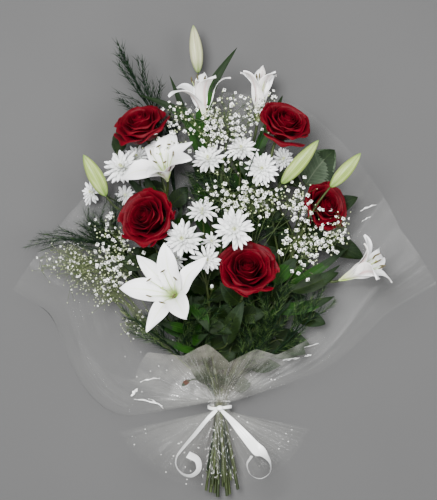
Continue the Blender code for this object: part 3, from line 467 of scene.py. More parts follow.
def makeLeafFinish(name, blade, light, rib, roughness, sideVeins):
    material, tree, shader = newFinish(name, roughness, Specular_IOR_Level=0.1)
    across, run = uvParts(tree)
    edge = fromMiddle(tree, across)
    slant = maths(
        tree, "ADD", maths(tree, "MULTIPLY", run, sideVeins), maths(tree, "MULTIPLY", edge, -2.4))
    wave = maths(tree, "SINE", maths(tree, "MULTIPLY", slant, 2 * math.pi), 0)
    vein = ramp(tree, wave, ((0.8, grey(0)), (1.0, grey(0.45))))
    ribLine = ramp(tree, edge, ((0.0, grey(0.9)), (0.07, grey(0))))
    patches = mottle(tree, coordinates(tree, "Object"), 60, 4)
    colour = ramp(tree, patches, ((0.3, blade), (0.72, light)))
    colour = mixColours(tree, vein, colour, rib)
    colour = mixColours(tree, ribLine, colour, rib)
    tree.links.new(colour, shader.inputs["Base Color"])
    height = maths(tree, "ADD", maths(tree, "MULTIPLY", vein, 0.6), ribLine)
    bump(tree, shader, height, 0.5, 0.0007)
    return material


def makeFilmFinish():
    # mostly see-through, milky in front and near the tie, printed with tiny white dots
    material, tree, milk = newFinish("clearFilm", 0.3)
    across, run = uvParts(tree)
    gloss = addNode(tree, "BsdfGlossy")
    gloss.inputs["Roughness"].default_value = 0.1
    clear = addNode(tree, "BsdfTransparent")
    facing = addNode(tree, "LayerWeight")
    facing.inputs["Blend"].default_value = 0.3
    streaks = mottle(tree, coordinates(tree, "UV", (60, 1.5, 1)), 2.2, 4, 0.6)
    patches = mottle(tree, coordinates(tree, "Object"), 28, 4, 0.5)
    streaky = ramp(tree, streaks, ((0.5, grey(0.15)), (0.72, grey(1))))
    patchy = ramp(tree, patches, ((0.4, grey(0.1)), (0.68, grey(1))))
    haze = maths(tree, "MULTIPLY", streaky, patchy)
    nearTie = ramp(
        tree, run, ((0.02, grey(0.02)), (0.2, grey(0.14)), (0.34, grey(0.34)), (0.56, grey(0.03))))
    share = maths(tree, "MULTIPLY", haze, nearTie)
    share = maths(tree, "ADD", share, maths(tree, "MULTIPLY", nearTie, 0.4))
    inFront = ramp(tree, fromMiddle(tree, across), ((0.06, grey(1)), (0.3, grey(0))))
    above = ramp(tree, run, ((0.28, grey(0)), (0.36, grey(1))))
    veil = ramp(tree, patches, ((0.34, grey(0.08)), (0.68, grey(0.44))))
    veil = maths(tree, "MULTIPLY", maths(tree, "MULTIPLY", inFront, above), veil)
    share = maths(tree, "ADD", share, veil)
    spots = addNode(tree, "TexVoronoi")
    spots.inputs["Scale"].default_value = 105
    tree.links.new(coordinates(tree, "Object"), spots.inputs["Vector"])
    dots = ramp(tree, spots.outputs["Distance"], ((0.08, grey(1)), (0.14, grey(0))))
    some = ramp(tree, patches, ((0.46, grey(0)), (0.52, grey(1))))
    close = ramp(tree, run, ((0.02, grey(0.5)), (0.25, grey(1)), (0.45, grey(0.9)), (0.7, grey(0.06))))
    printed = maths(tree, "MULTIPLY", maths(tree, "MULTIPLY", dots, some), close)
    share = maths(tree, "ADD", share, printed)
    tone = mixColours(tree, inFront, (0.62, 0.62, 0.58), (0.25, 0.235, 0.195))
    tree.links.new(mixColours(tree, printed, tone, (0.95, 0.95, 0.93)), milk.inputs["Base Color"])
    body = addNode(tree, "MixShader")
    tree.links.new(share, body.inputs[0])
    tree.links.new(clear.outputs[0], body.inputs[1])
    tree.links.new(milk.outputs[0], body.inputs[2])
    shine = addNode(tree, "MixShader")
    gleam = maths(tree, "MULTIPLY", ramp(tree, streaks, ((0.45, grey(0.25)), (0.62, grey(1)))), nearTie)
    gleam = maths(tree, "ADD", maths(tree, "MULTIPLY", gleam, 1.6), 0.03)
    tree.links.new(maths(tree, "MULTIPLY", facing.outputs["Fresnel"], gleam), shine.inputs[0])
    tree.links.new(body.outputs[0], shine.inputs[1])
    tree.links.new(gloss.outputs[0], shine.inputs[2])
    tree.links.new(shine.outputs[0], tree.nodes["Material Output"].inputs["Surface"])
    return material


def makeBudFinish(name, foot, body, streak, line):
    # green at the foot, with paler streaks and one darker line along each of its three seams
    material, tree, shader = newFinish(name, 0.4, Specular_IOR_Level=0.45)
    across, run = uvParts(tree)
    colour = ramp(tree, run, ((0.02, foot), (0.3, body), (0.85, body), (1.0, foot)))
    veins = mottle(tree, coordinates(tree, "UV", (42, 1.2, 1)), 1.3, 3, 0.3)
    colour = mixColours(tree, ramp(tree, veins, ((0.48, grey(0)), (0.68, grey(0.6)))), colour, streak)
    wave = maths(tree, "SINE", maths(tree, "MULTIPLY", across, 6 * math.pi), 0)
    seam = ramp(tree, wave, ((0.93, grey(0)), (1.0, grey(0.8))))
    high = ramp(tree, run, ((0.35, grey(0.2)), (0.9, grey(1))))
    colour = mixColours(tree, maths(tree, "MULTIPLY", seam, high), colour, line)
    tree.links.new(colour, shader.inputs["Base Color"])
    bump(tree, shader, veins, 0.5, 0.0006)
    return material


def makeFinishes():
    made = {"clearFilm": makeFilmFinish()}
    makers = (
        (makePetalFinish, petalTones),
        (makeLilyFinish, lilyTones),
        (makeBudFinish, budTones),
        (makeLeafFinish, leafTones),
        (makeSpeckledFinish, speckledTones),
    )
    for maker, tones in makers:
        for name, values in tones.items():
            made[name] = maker(name, *values, **ownSockets.get(name, {}))
    return made


makeCamera()
makeFloor()
makeLights()
finish = makeFinishes()
print("stage and finishes")


# Roses

roseSet = {
    "petals": 30,
    "depth": 27,
    "thickness": 0.45,
    "innerWrap": 105,  # half the angle that a petal wraps, in degrees
    "outerWrap": 52,
    "point": 4.5,  # how far the middle of an outer petal's rim stands out
    "across": 14,
    "rows": 14,
    "hip": (5, 8),
    "sepalReach": 17,
    "sepalDroop": 5,
}
roses = {
    # number: (centre of the bloom, facing, scale, spin)
    1: ((-116, 188, 94), heading(-0.30, 0.72, 0.62), 0.95, 20),
    2: ((99, 189, 106), heading(0.34, 0.60, 0.72), 0.93, 75),
    3: ((-106, 48, 118), heading(-0.42, 0.28, 0.86), 1.06, 140),
    4: ((159, 66, 86), heading(0.52, 0.26, 0.81), 0.90, 30),
    5: ((42, -29, 128), heading(0.06, 0.50, 0.86), 1.08, 200),
}


def roseFrame(number):
    centre, facing, scale, spin = roses[number]
    return pointing(Vector(centre) - facing * roseSet["depth"] * scale, facing, spin)


def rosePetal(share, draw):
    belly = 2.6 + 25.4 * share
    top = 46 - 13 * share ** 1.5 + draw.uniform(-1.2, 0.6)
    rim = belly + mix(-0.3 * belly, 13, smooth(share))
    curl = 3.2 * share * share
    profile = [
        Vector((2 + 4 * share, 1)),
        Vector((belly * 0.84, top * 0.26)),
        Vector((belly, top * 0.58)),
        Vector((mix(belly, rim, 0.42), top * 0.86)),
        Vector((rim - curl * 0.5, top)),
        Vector((rim, top - curl)),
    ]
    wrap = math.radians(mix(roseSet["innerWrap"], roseSet["outerWrap"], share ** 0.7))
    phase, tide = draw.uniform(0, 6), draw.uniform(0, 6)
    roll = mix(0.6, 6.5, smooth(share * 1.3)) * draw.uniform(0.6, 1.3)
    point = roseSet["point"] * share * draw.uniform(0.5, 1.2)

    def shape(side, run):
        level = run * (1 - 0.24 * abs(side) ** 3)
        radius, height = along(profile, level)
        width = mix(0.42, 1, smooth(level / 0.55))
        edge = smooth((abs(side) - 0.4) / 0.6) * smooth((run - 0.35) / 0.5)
        radius += 1.1 * side + roll * edge
        height -= roll * 0.6 * edge
        radius += 1.1 * share * math.sin(4.4 * side + phase) * run ** 3
        height += 1.6 * share * math.sin(3.1 * side + tide) * run ** 3
        tip = point * math.exp(-((side / 0.2) ** 2)) * run ** 6
        radius += tip
        height -= 0.35 * tip
        angle = side * wrap * width
        return Vector((radius * math.cos(angle), radius * math.sin(angle), height))

    return thicken(sheetOf(shape, roseSet["across"], roseSet["rows"]), roseSet["thickness"], 1)


def makeRose(number):
    draw = random.Random(number)
    scale = Matrix.Scale(roses[number][2], 4)
    bloom = bmesh.new()
    count = roseSet["petals"]
    for index in range(count):
        share = index / (count - 1)
        lean = Matrix.Rotation(math.radians(draw.uniform(-6, 6)) * share, 4, "X")
        lean = lean @ Matrix.Rotation(math.radians(draw.uniform(-4, 9)) * share * share, 4, "Y")
        place = roseFrame(number) @ scale @ turned(golden * index + draw.uniform(-16, 16)) @ lean
        addTo(bloom, rosePetal(share, draw), place)
    name = f"rose_{number}_petals"
    finishes = (finish["roseVelvet"], finish["roseBack"])
    finishPiece(bloom, name, finishes, [f"rose_{number}_bloom"])


for number in roses:
    makeRose(number)
print("roses")


# Lilies

lilySet = {
    "innerWidth": 17.5,
    "outerWidth": 13,
    "thickness": 0.6,
    "across": 12,
    "rows": 26,
    "whorlGap": 1.8,
    "stamenReach": 0.64,
    "pistilReach": 0.72,
    "slim": {1: 0.76, 2: 0.8, 5: 0.85},  # the lilies seen from the side have narrower tepals
}
tepalPoses = {
    # for each lily the six tepals' swing round the trumpet, added tilt at the tip, and length
    1: ((16, 10, 1.05), (6, -50, 0.9), (-12, -18, 1.1), (2, 0, 1), (0, -24, 0.92), (-2, 15, 1)),
    2: ((-6, 0, 1), (4, -50, 1), (-8, -20, 0.98), (10, 0, 1), (0, -10, 1), (0, 0, 1)),
    3: ((-4, 25, 1.05), (-16, -35, 0.96), (18, -36, 1.04), (2, -35, 1), (0, 10, 1), (-24, 34, 1)),
    4: ((10, -22, 0.86), (44, 15, 1), (34, -15, 1), (14, 8, 1), (-2, 0, 1), (6, 0, 0.92)),
    5: ((-18, -5, 1), (-24, -15, 1), (0, -10, 0.98), (18, -20, 1), (30, -5, 1), (-8, -15, 1)),
}
lilies = {
    # number: (base of the trumpet, facing, tepal length, tilts from base to tip, spin)
    1: ((-17, 186, 75), heading(-0.16, 0.92, 0.34), 96, (10, 12, 22, 60, 110), 15),
    2: ((58, 190, 58), heading(0.10, 0.97, 0.12), 92, (8, 8, 10, 34, 90), 40),
    3: ((-76, 102, 96), heading(-0.12, 0.60, 0.78), 90, (16, 20, 44, 84, 116), 10),
    4: ((-62, -70, 108), heading(-0.28, 0.22, 0.93), 100, (16, 26, 58, 82, 98), 66),
    5: ((180, -46, 78), heading(0.84, 0.42, 0.34), 92, (10, 12, 22, 64, 112), 0),
}


def makeTepal(length, tilts, outer, swing, breadth, draw):
    line = leaningLine(length, tilts, lilySet["rows"])
    half = (lilySet["outerWidth"] if outer else lilySet["innerWidth"]) * breadth
    gap = lilySet["whorlGap"] if outer else 0
    phase, sway = draw.uniform(0, 6), draw.uniform(-2.5, 2.5)

    def shape(side, run):
        radius, height = along(line, run)
        lean = math.radians(straight(tilts, run))
        width = half * math.sin(math.pi * min(run, 1) ** 1.16) ** 0.85 if run < 1 else 0
        width = max(width, radius * math.radians(30) * (1 - smooth((run - 0.2) / 0.3)))
        bendRadius = radius + 3 + 26 * smooth((run - 0.25) / 0.5)
        angle = side * width / bendRadius
        back = gap * smooth(run / 0.4) - (1 - math.cos(angle)) * bendRadius
        back += 0.7 * math.exp(-((side / 0.16) ** 2)) * smooth(run / 0.3) * (1 - run)
        back += 2.2 * math.sin(11 * run + phase + side) * abs(side) ** 3 * smooth(run / 0.5)
        sideways = math.sin(angle) * bendRadius + sway * math.sin(math.pi * run)
        spot = Vector((radius + back * math.cos(lean), sideways, height - back * math.sin(lean)))
        # the trumpet stays whole and only the free part swings round it
        return Matrix.Rotation(math.radians(swing) * smooth((run - 0.12) / 0.5), 3, "Z") @ spot

    return thicken(sheetOf(shape, lilySet["across"], lilySet["rows"]), lilySet["thickness"], 1)


def makeLily(number):
    base, facing, length, tilts, spin = lilies[number]
    draw = random.Random(20 + number)
    place = pointing(base, facing, spin)
    breadth = lilySet["slim"].get(number, 1)
    bloom = bmesh.new()
    lean = math.radians(max(0.5 * (tilts[0] + tilts[1]), 7))
    # stamens lean towards the side that the flower faces in the picture
    aside = place.to_3x3().inverted() @ (Vector((facing.x, facing.y, 0)) - facing * 0.3)
    for index in range(6):
        swing, tilt, long = tepalPoses[number][index]
        bent = [before + tilt * step / 4 for step, before in enumerate(tilts)]
        tepal = makeTepal(length * long, bent, index % 2 == 1, swing, breadth, draw)
        addTo(bloom, tepal, place @ turned(60 * index))
        turn = turned(60 * index + 30 + draw.uniform(-8, 8)).to_3x3()
        spoke = turn @ Vector((math.sin(lean), 0, math.cos(lean)))
        tip = spoke * length * lilySet["stamenReach"] * draw.uniform(0.94, 1.03) + aside * 18
        root = turn @ Vector((1.2, 0, length * 0.1))
        middle = root.lerp(tip, 0.5) - turn @ Vector((1.6, 0, 0)) - aside * 3
        addTo(bloom, tubeOf([root, middle, tip], (0.8, 0.65, 0.45), 6, 10), place, 2)
        cross = up.cross(spoke) if tilts[1] > 15 else spoke
        cross = (cross + Vector([draw.uniform(-0.3, 0.3) for _ in range(3)])).normalized()
        addTo(bloom, ellipsoid(tip, (1.3, 1.5, 5), cross, 8, 8), place, 3)
    style = [Vector((0, 0, length * share)) for share in (0.02, 0.2, 0.45)]
    style.append(Vector((1.5, 0, length * lilySet["pistilReach"])))
    addTo(bloom, tubeOf(style, (2, 1.7, 0.8, 1.0), 8, 14), place, 2)
    for lobe in range(3):
        out = turned(120 * lobe).to_3x3() @ Vector((1.3, 0, 0))
        addTo(bloom, ellipsoid(style[-1] + out, (1.5, 1.5, 1.3), up, 8, 6), place, 2)
    finishes = (finish["lilyInside"], finish["lilyBack"], finish["filament"], finish["anther"])
    finishPiece(bloom, f"lily_{number}_tepals", finishes, [f"lily_{number}_bloom"])


buds = {
    # number: (base, facing, length, radius, its lily's number)
    1: ((-31, 268, 40), heading(-0.10, 0.99, 0.06), 74, 10.5, 1),
    2: ((-168, 80, 86), heading(-0.46, 0.86, 0.22), 72, 12.5, 3),
    3: ((93, 98, 104), heading(0.64, 0.75, 0.14), 86, 11.5, 5),
    4: ((164, 92, 134), heading(0.66, 0.74, 0.12), 68, 10.5, 5),
}


def makeBud(number):
    base, facing, length, radius, _ = buds[number]

    def shape(side, run):
        girth = radius * math.sin(math.pi * min(run, 0.999) ** 0.85) ** 0.7 if run > 0 else 0
        angle = math.pi * side
        girth *= 1 - 0.16 * abs(math.cos(1.5 * angle)) ** 8  # three shallow grooves
        return Vector((girth * math.cos(angle), girth * math.sin(angle), run * length))

    bud = sheetOf(shape, 36, 24)
    bmesh.ops.remove_doubles(bud, verts=bud.verts, dist=1e-3)
    bmesh.ops.recalc_face_normals(bud, faces=bud.faces)
    whole = bmesh.new()
    addTo(whole, bud, pointing(base, facing))
    skin = finish["paleBudSkin" if number == 1 else "budSkin"]
    finishPiece(whole, f"bud_{number}", (skin,), [f"lily_bud_{number}"])


for number in lilies:
    makeLily(number)
for number in buds:
    makeBud(number)
print("lilies and buds")


# Chrysanthemums

headSet = {"depth": 0.28, "turn": 13, "thickness": 0.35, "across": 4, "rows": 8}
rings = (
    # (petals, lean at their root and tip, reach and half width as shares of the head's radius)
    (14, 64, 98, 1.02, 0.098),
    (13, 55, 88, 0.93, 0.096),
    (12, 45, 74, 0.8, 0.09),
    (11, 33, 60, 0.64, 0.082),
    (10, 21, 42, 0.47, 0.07),
    (9, 9, 12, 0.32, 0.055),
)
heads = {
    # number: (centre, facing, radius)
    1: ((23, 31, 150), heading(0.05, 0.05, 1.0), 31),
    2: ((-54, 17, 136), heading(-0.25, 0.25, 0.93), 30),
    3: ((-24, 60, 118), heading(-0.05, 0.62, 0.78), 23),
    4: ((-17, -14, 132), heading(0.22, -0.30, 0.93), 23),
    5: ((-10, 14, 106), heading(0.0, 0.5, 0.86), 16),
    6: ((-66, -14, 98), heading(-0.3, -0.35, 0.89), 18),
    7: ((-146, 126, 86), heading(-0.28, 0.45, 0.85), 30),
    8: ((-124, 142, 52), heading(-0.1, 0.6, 0.78), 23),
    9: ((-194, 88, 52), heading(-0.75, 0.1, 0.66), 22),
    10: ((-16, 138, 96), heading(-0.1, 0.55, 0.83), 26),
    11: ((34, 154, 90), heading(-0.05, 0.6, 0.8), 24),
    12: ((98, 138, 66), heading(0.35, 0.45, 0.82), 21),
    13: ((64, 122, 108), heading(0.15, 0.2, 0.96), 26),
    14: ((-142, 84, 40), heading(-0.3, 0.2, 0.93), 17),
}


def mumPetal(reach, rootLean, tipLean, half, draw):
    tilts = (rootLean, mix(rootLean, tipLean, 0.8), tipLean, tipLean - draw.uniform(0, 24))
    line = leaningLine(reach, tilts, headSet["rows"])
    bend = draw.uniform(-0.12, 0.12) * reach

    def shape(side, run):
        radius, height = along(line, run)
        lean = math.radians(straight(tilts, run))
        width = half * mix(0.4, 1, smooth(run / 0.7))
        if run > 0.7:
            width *= max(1 - ((run - 0.7) / 0.31) ** 2, 0) ** 0.7
        back = -0.75 * half * side * side * mix(1, 0.6, run)
        sideways = side * width + bend * run * run
        return Vector((radius + back * math.cos(lean), sideways, height - back * math.sin(lean)))

    return thicken(sheetOf(shape, headSet["across"], headSet["rows"]), headSet["thickness"])


def makeHead(number):
    centre, facing, radius = heads[number]
    draw = random.Random(40 + number)
    seat = Vector(centre) - facing * radius * headSet["depth"]
    place = pointing(seat, facing, headSet["turn"] * number)
    head = bmesh.new()
    fewer = mix(0.6, 1, smooth((radius - 14) / 14))
    button = ellipsoid((0, 0, radius * 0.1), (radius * 0.2, radius * 0.2, radius * 0.16))
    addTo(head, button, place, 1)
    for order, (count, rootLean, tipLean, reach, half) in enumerate(rings):
        count = round(count * fewer)
        for index in range(count):
            turn = turned(360 * (index + 0.5 * (order % 2)) / count + draw.uniform(-7, 7))
            long = radius * reach * draw.uniform(0.8, 1.05)
            petal = mumPetal(long, rootLean + draw.uniform(-6, 6), tipLean + draw.uniform(-9, 5),
                             half * radius * draw.uniform(0.85, 1.1), draw)
            root = Matrix.Translation((radius * 0.07 * reach, 0, radius * (0.2 - 0.16 * reach)))
            addTo(head, petal, place @ turn @ root, 1 if order > 4 else 0)
    name = f"mum_{number:02d}"
    finishes = (finish["mumPetal"], finish["mumHeart"])
    finishPiece(head, name, finishes, [f"chrysanthemum_{number:02d}"])


for number in heads:
    makeHead(number)
print("chrysanthemums")


# Stems: all pressed together in the tie, each with one sweep to its target

tie = {"centre": Vector((2, -240, 22)), "half": 9, "bend": 26, "gap": 0.4}
foot = {"level": -378, "spread": 0.026, "rise": 4}
stems = {
    # name: (radius, target of the sweep, height of the cut foot)
    "rose_1_stem": (2.3, (-84, 104, 60), -372),
    "rose_2_stem": (2.3, (72, 108, 76), -376),
    "rose_3_stem": (2.3, (-78, 0, 84), -360),
    "rose_4_stem": (2.3, (124, 24, 58), -366),
    "rose_5_stem": (2.3, (34, -76, 84), -354),
    "lily_1_stem": (2.6, (-14, 120, 58), -378),
    "lily_2_stem": (2.4, (48, 140, 50), -374),
    "lily_3_stem": (2.6, (-80, 46, 66), -370),
    "lily_4_stem": (2.5, (-50, -104, 84), -356),
    "lily_5_stem": (2.6, (104, -30, 66), -364),
    "chrysanthemum_stem_1": (2.0, (-112, 40, 38), -368),
    "chrysanthemum_stem_2": (2.0, (-18, -50, 78), -350),
    "chrysanthemum_stem_3": (2.0, (30, 84, 60), -362),
    "gypsophila_1": (1.3, (4, 120, 74), -358),
    "gypsophila_2": (1.3, (54, 10, 92), -346),
    "gypsophila_3": (1.3, (-150, -92, 30), -340),
    "gypsophila_4": (1.3, (-112, -50, 56), -348),
    "gypsophila_5": (1.3, (118, -24, 76), -344),
    "fern_1": (1.3, (-80, 150, 40), -352),
    "fern_2": (1.3, (30, 60, 86), -342),
    "fern_3": (1.3, (-130, -30, 34), -336),
    "fern_4": (1.3, (-68, -150, 60), -338),
    "fern_5": (1.3, (60, -150, 62), -336),
    "fern_6": (1.3, (90, -150, 44), -334),
    "leaf_stem_1": (1.7, (120, 40, 34), -352),
    "leaf_stem_2": (1.7, (92, -120, 34), -340),
    "leaf_stem_3": (1.7, (-14, -140, 62), -340),
}
stemSet = {
    # points and rows of faces along a sweep, its neck and a stalk
    "sweep": 14,
    "neck": 8,
    "rows": 48,
    "stalk": 6,
    "stalkRows": 14,
}
packing = {
    "heights": (9, 20, 30, 45, 62, 85, 110, 145, 180, 225, 270, 320),
    "rounds": 500,
    "firstPlaces": 14,
    "pull": 0.02,
    "push": 0.35,
    "skew": 4,
}


def fan(away):
    free = max(away - tie["half"], 0)
    return math.sqrt(free * free + tie["bend"] ** 2) - tie["bend"]


# places in the tie: pulled to the middle and pushed apart where two sweeps come too near
def packStems():
    middle = tie["centre"]
    radii = np.array([radius for radius, _, _ in stems.values()])
    targets = np.array([target for _, target, _ in stems.values()])
    spreads = np.array([fan(target[1] - middle.y) for target in targets])
    aims = targets[:, (0, 2)] - np.array((middle.x, middle.z))
    places = aims / spreads[:, None] * packing["firstPlaces"]
    places -= places.mean(axis=0)
    wanted = radii[:, None] + radii[None, :] + tie["gap"] * math.sqrt(2)
    np.fill_diagonal(wanted, 0)
    for turn in range(packing["rounds"]):
        places *= 1 - packing["pull"] * (1 - turn / packing["rounds"]) ** 2
        for height in packing["heights"]:
            spread = fan(height)
            slopes = (aims - places) / spreads[:, None]
            steep = (fan(height + 1) - fan(height)) * slopes
            atHeight = places + slopes * spread
            apart = atHeight[:, None] - atHeight[None, :]
            meanSteep = (steep[:, None] + steep[None, :]) / 2
            down = (apart * meanSteep).sum(axis=2) ** 2 / (1 + (meanSteep ** 2).sum(axis=2))
            length = np.sqrt((apart ** 2).sum(axis=2)) + 1e-6
            across = np.sqrt(np.maximum(1 - down / length ** 2, 0))
            parting = np.abs(steep[:, None] - steep[None, :]).sum(axis=2)
            skew = np.minimum(parting * packing["skew"], 1)
            square = np.abs(apart).sum(axis=2)
            distance = (square + (length - square) * skew) * across
            reached = (spreads[:, None] >= spread) & (spreads[None, :] >= spread)
            short = np.where(reached, np.maximum(wanted - distance, 0), 0)
            places += (apart / length[:, :, None] * short[:, :, None]).sum(axis=1) * packing["push"]
    return {name: Vector(place) for name, place in zip(stems, places)}


inTie = packStems()


def cornerReach(name):
    radius = stems[name][0]
    across, rise = map(abs, inTie[name])
    return max(math.hypot(across + radius, rise), math.hypot(across, rise + radius))


bundleRadius = max(map(cornerReach, stems))


def stemPoint(name, y):
    middle = tie["centre"]
    target = Vector(stems[name][1])
    across, rise = inTie[name]
    away = y - middle.y
    if away < 0:
        spread = fan(-away)
        lift = foot["rise"] * spread / fan(middle.y - foot["level"])
        return middle + Vector((across * (1 + foot["spread"] * spread), away, rise + lift))
    share = fan(away) / fan(target.y - middle.y)
    return Vector((
        mix(middle.x + across, target.x, share), y, mix(middle.z + rise, target.z, share)
    ))


def stemHeading(name, y):
    return (stemPoint(name, y + 2) - stemPoint(name, y - 2)).normalized()


def sweepLine(name):
    _, target, cut = stems[name]
    middle, count = tie["centre"].y, stemSet["sweep"]
    low, high = middle - tie["half"], middle + tie["half"]
    levels = [cut, mix(cut, low, 0.35), mix(cut, low, 0.7), low, middle, high]
    levels += [mix(high, target[1], (index + 1) / count) for index in range(count)]
    return [stemPoint(name, level) for level in levels]


def bentLine(start, leave, end, arrive, count, bow=Vector((0, 0, 0))):
    length = (end - start).length
    points = []
    for index in range(1, count + 1):
        t = index / count
        point = start.lerp(end, smooth(t))
        point += leave * (t * (1 - t) ** 2 * length) - arrive * (t * t * (1 - t) * length)
        points.append(point + bow * math.sin(math.pi * t))
    return points


def addStem(piece, name, tip=None, arrive=None, tipRadius=None, bow=Vector((0, 0, 0)), sides=10):
    # the sweep and its neck, with a pale cut at the foot
    radius, target, _ = stems[name]
    line = sweepLine(name)
    radii = [radius] * len(line)
    neck = []
    if tip is not None:
        count = stemSet["neck"]
        neck = bentLine(line[-1], stemHeading(name, target[1]), tip, arrive, count, bow)
        radii += [mix(radius, tipRadius, (index + 1) / count) for index in range(count)]
    whole = tubeOf(line + neck, radii, sides, stemSet["rows"])
    for face in whole.faces:
        if len(face.verts) > 4 and face.calc_center_median().y < tie["centre"].y:
            face.material_index = 1
    addTo(piece, whole)
    return [line[-1]] + neck


def addStalk(piece, name, height, tip, arrive, radius, bow=Vector((0, 0, 0))):
    start = stemPoint(name, height)
    leave = (stemHeading(name, height) + (tip - start).normalized()).normalized()
    points = [start] + bentLine(start, leave, tip, arrive, stemSet["stalk"], bow)
    addTo(piece, tubeOf(points, (radius, radius * 0.8), 8, stemSet["stalkRows"]), finish=0)


# Leaves

leafSet = {
    "arch": math.radians(14),
    "keel": 0.2,
    "thickness": 0.4,
    "under": 3,  # the underside's place among a stem's finishes
    "lowest": 8,  # and highest, for the tips of the leaves that dress a stem
    "highest": 112,
    "shortWithin": 80,  # of the tie, leaves are shorter
}


def addLeaf(piece, draw, root, tip, half, facing=up, top=2, grid=(6, 13), notch=0.0, bow=0.0):
    run = tip - root
    length = run.length
    zAxis = run.normalized()
    xAxis = (facing - zAxis * facing.dot(zAxis)).normalized()
    place = Matrix((xAxis, zAxis.cross(xAxis), zAxis)).transposed().to_4x4()
    place.translation = root
    phase, curl = draw.uniform(0, 6), draw.uniform(-0.08, 0.08)

    def shape(side, share):
        width = half * math.sin(math.pi * min(share, 0.999) ** 0.8) ** 0.8 if share < 1 else 0
        width = max(width, 0.9 * (1 - share) ** 4)
        width *= 1 + notch * math.sin(share * 60)
        y = side * width + (curl * length + bow) * math.sin(math.pi * share)
        x = 2.6 * length * leafSet["arch"] * share * share * (1 - share)
        x += leafSet["keel"] * abs(side) * width
        x += 0.12 * half * math.sin(7 * share + phase + 2 * side) * side * side
        return Vector((x, y, length * share))

    blade = thicken(sheetOf(shape, *grid), leafSet["thickness"], top)
    for face in blade.faces:
        if face.material_index == 0:
            face.material_index = leafSet["under"]
    addTo(piece, blade, place)


# leaves all the way up a stem, springing to either side of it
def dressStem(piece, name, draw, low, high, spacing, length, half, climb=0.6, **leaf):
    y = low
    side = 1
    while y < high:
        root = stemPoint(name, y)
        run = stemHeading(name, y)
        out = run.cross(up).normalized() * side
        onward = run * draw.uniform(climb * 0.7, climb * 1.4)
        out = (out + onward + up * draw.uniform(-0.15, 0.45)).normalized()
        shorter = min((y - tie["centre"].y) / leafSet["shortWithin"], 1)
        tip = root + out * length * draw.uniform(0.75, 1.15) * shorter
        tip.z = min(max(tip.z, leafSet["lowest"]), leafSet["highest"])
        facing = up + out * draw.uniform(-0.3, 0.1) + heading(draw.uniform(-1, 1), 0, 1) * 0.3
        addLeaf(piece, draw, root, tip, half * draw.uniform(0.8, 1.15), facing.normalized(), **leaf)
        side = -side
        y += spacing * draw.uniform(0.75, 1.25)


green = (finish["stem"], finish["cutEnd"])
leafyFinishes = {
    "rose": (*green, finish["roseLeaf"], finish["leafUnder"]),
    "lily": (*green, finish["lilyLeaf"], finish["leafUnder"]),
    "mum": (*green, finish["broadLeaf"], finish["leafUnder"], finish["mumPetal"]),
    "broad": (*green, finish["broadLeaf"], finish["leafUnder"], finish["paleLeaf"], finish["lilyLeaf"],
              finish["dryLeaf"]),
}

roseLeaves = {
    # number: (root of the blade, tip, half width)
    1: ((-154, 146, 60), (-142, 190, 58), 12),
    2: ((98, 112, 62), (124, 96, 58), 10),
    3: ((-112, -22, 78), (-148, -14, 76), 12),
    4: ((90, 100, 66), (116, 122, 62), 12),
    5: ((70, -70, 66), (104, -60, 72), 12),
}


def addCalyx(piece, number):
    place = roseFrame(number)
    radius, depth = roseSet["hip"]
    addTo(piece, ellipsoid((0, 0, -depth * 0.45), (radius, radius, depth * 0.55), up, 14, 10), place, 0)
    for index in range(5):
        reach, droop = roseSet["sepalReach"], roseSet["sepalDroop"]

        def shape(side, share):
            width = 3.4 * (1 - share) ** 0.7 + 0.2
            x = radius * 0.7 + reach * share
            return Vector((x, side * width, -1 + 4 * share - (droop + 6) * share * share))

        addTo(piece, thicken(sheetOf(shape, 4, 8), 0.5), place @ turned(72 * index), 0)


def makeRoseStem(number):
    name = f"rose_{number}_stem"
    draw = random.Random(60 + number)
    facing = roses[number][1]
    piece = bmesh.new()
    seat = roseFrame(number).translation - facing * 3.35
    addStem(piece, name, seat, facing, 2.2)
    addCalyx(piece, number)
    root, tip, half = roseLeaves[number]
    root, tip = Vector(root), Vector(tip)
    run = (tip - root).normalized()
    top = stems[name][1][1]
    addStalk(piece, name, top - 20, root + run * 3, run, 1.1)
    addLeaf(piece, draw, root, tip, half, notch=0.05)
    dressStem(piece, name, draw, -150, top, 22, 46, 12, notch=0.05)
    finishPiece(piece, f"rose_{number}_stalk", leafyFinishes["rose"], [name])


lilyLeaves = (
    # (lily, height of the root, tip of the leaf, half width, bow to the right of its run)
    (1, 118, (28, 303, 88), 10.5, -27),
    (1, 112, (-121, 234, 66), 8.5, 34),
    (1, 104, (-74, 264, 58), 6.5, 10),
    (2, 120, (98, 236, 36), 8, 0),
    (3, 10, (-146, 118, 66), 8, 0),
    (3, 40, (-112, 120, 92), 9, 0),
    (3, -20, (-62, 30, 112), 9, -8),
    (4, -120, (-14, -124, 112), 9, 10),
    (4, -130, (-100, -96, 70), 8, 0),
    (5, -70, (196, 4, 66), 8, 0),
    (5, -90, (176, -70, 54), 10, 0),
    (5, -60, (184, -22, 62), 7, 10),
)


def makeLilyStem(number):
    name = f"lily_{number}_stem"
    draw = random.Random(80 + number)
    base, facing = lilies[number][:2]
    piece = bmesh.new()
    addStem(piece, name, Vector(base) - facing * 0.8, facing, 1.9)
    top = stems[name][1][1]
    for base, facing, _, _, lily in buds.values():
        if lily == number:
            addStalk(piece, name, top - 25, Vector(base) - facing * 0.35, facing, 1.7)
    for lily, height, tip, half, bow in lilyLeaves:
        if lily == number:
            addLeaf(piece, draw, stemPoint(name, height), Vector(tip), half, grid=(8, 24), bow=bow)
    dressStem(piece, name, draw, -170, top, 15, 60, 7, 1.3)
    finishPiece(piece, f"lily_{number}_stalk", leafyFinishes["lily"], [name])


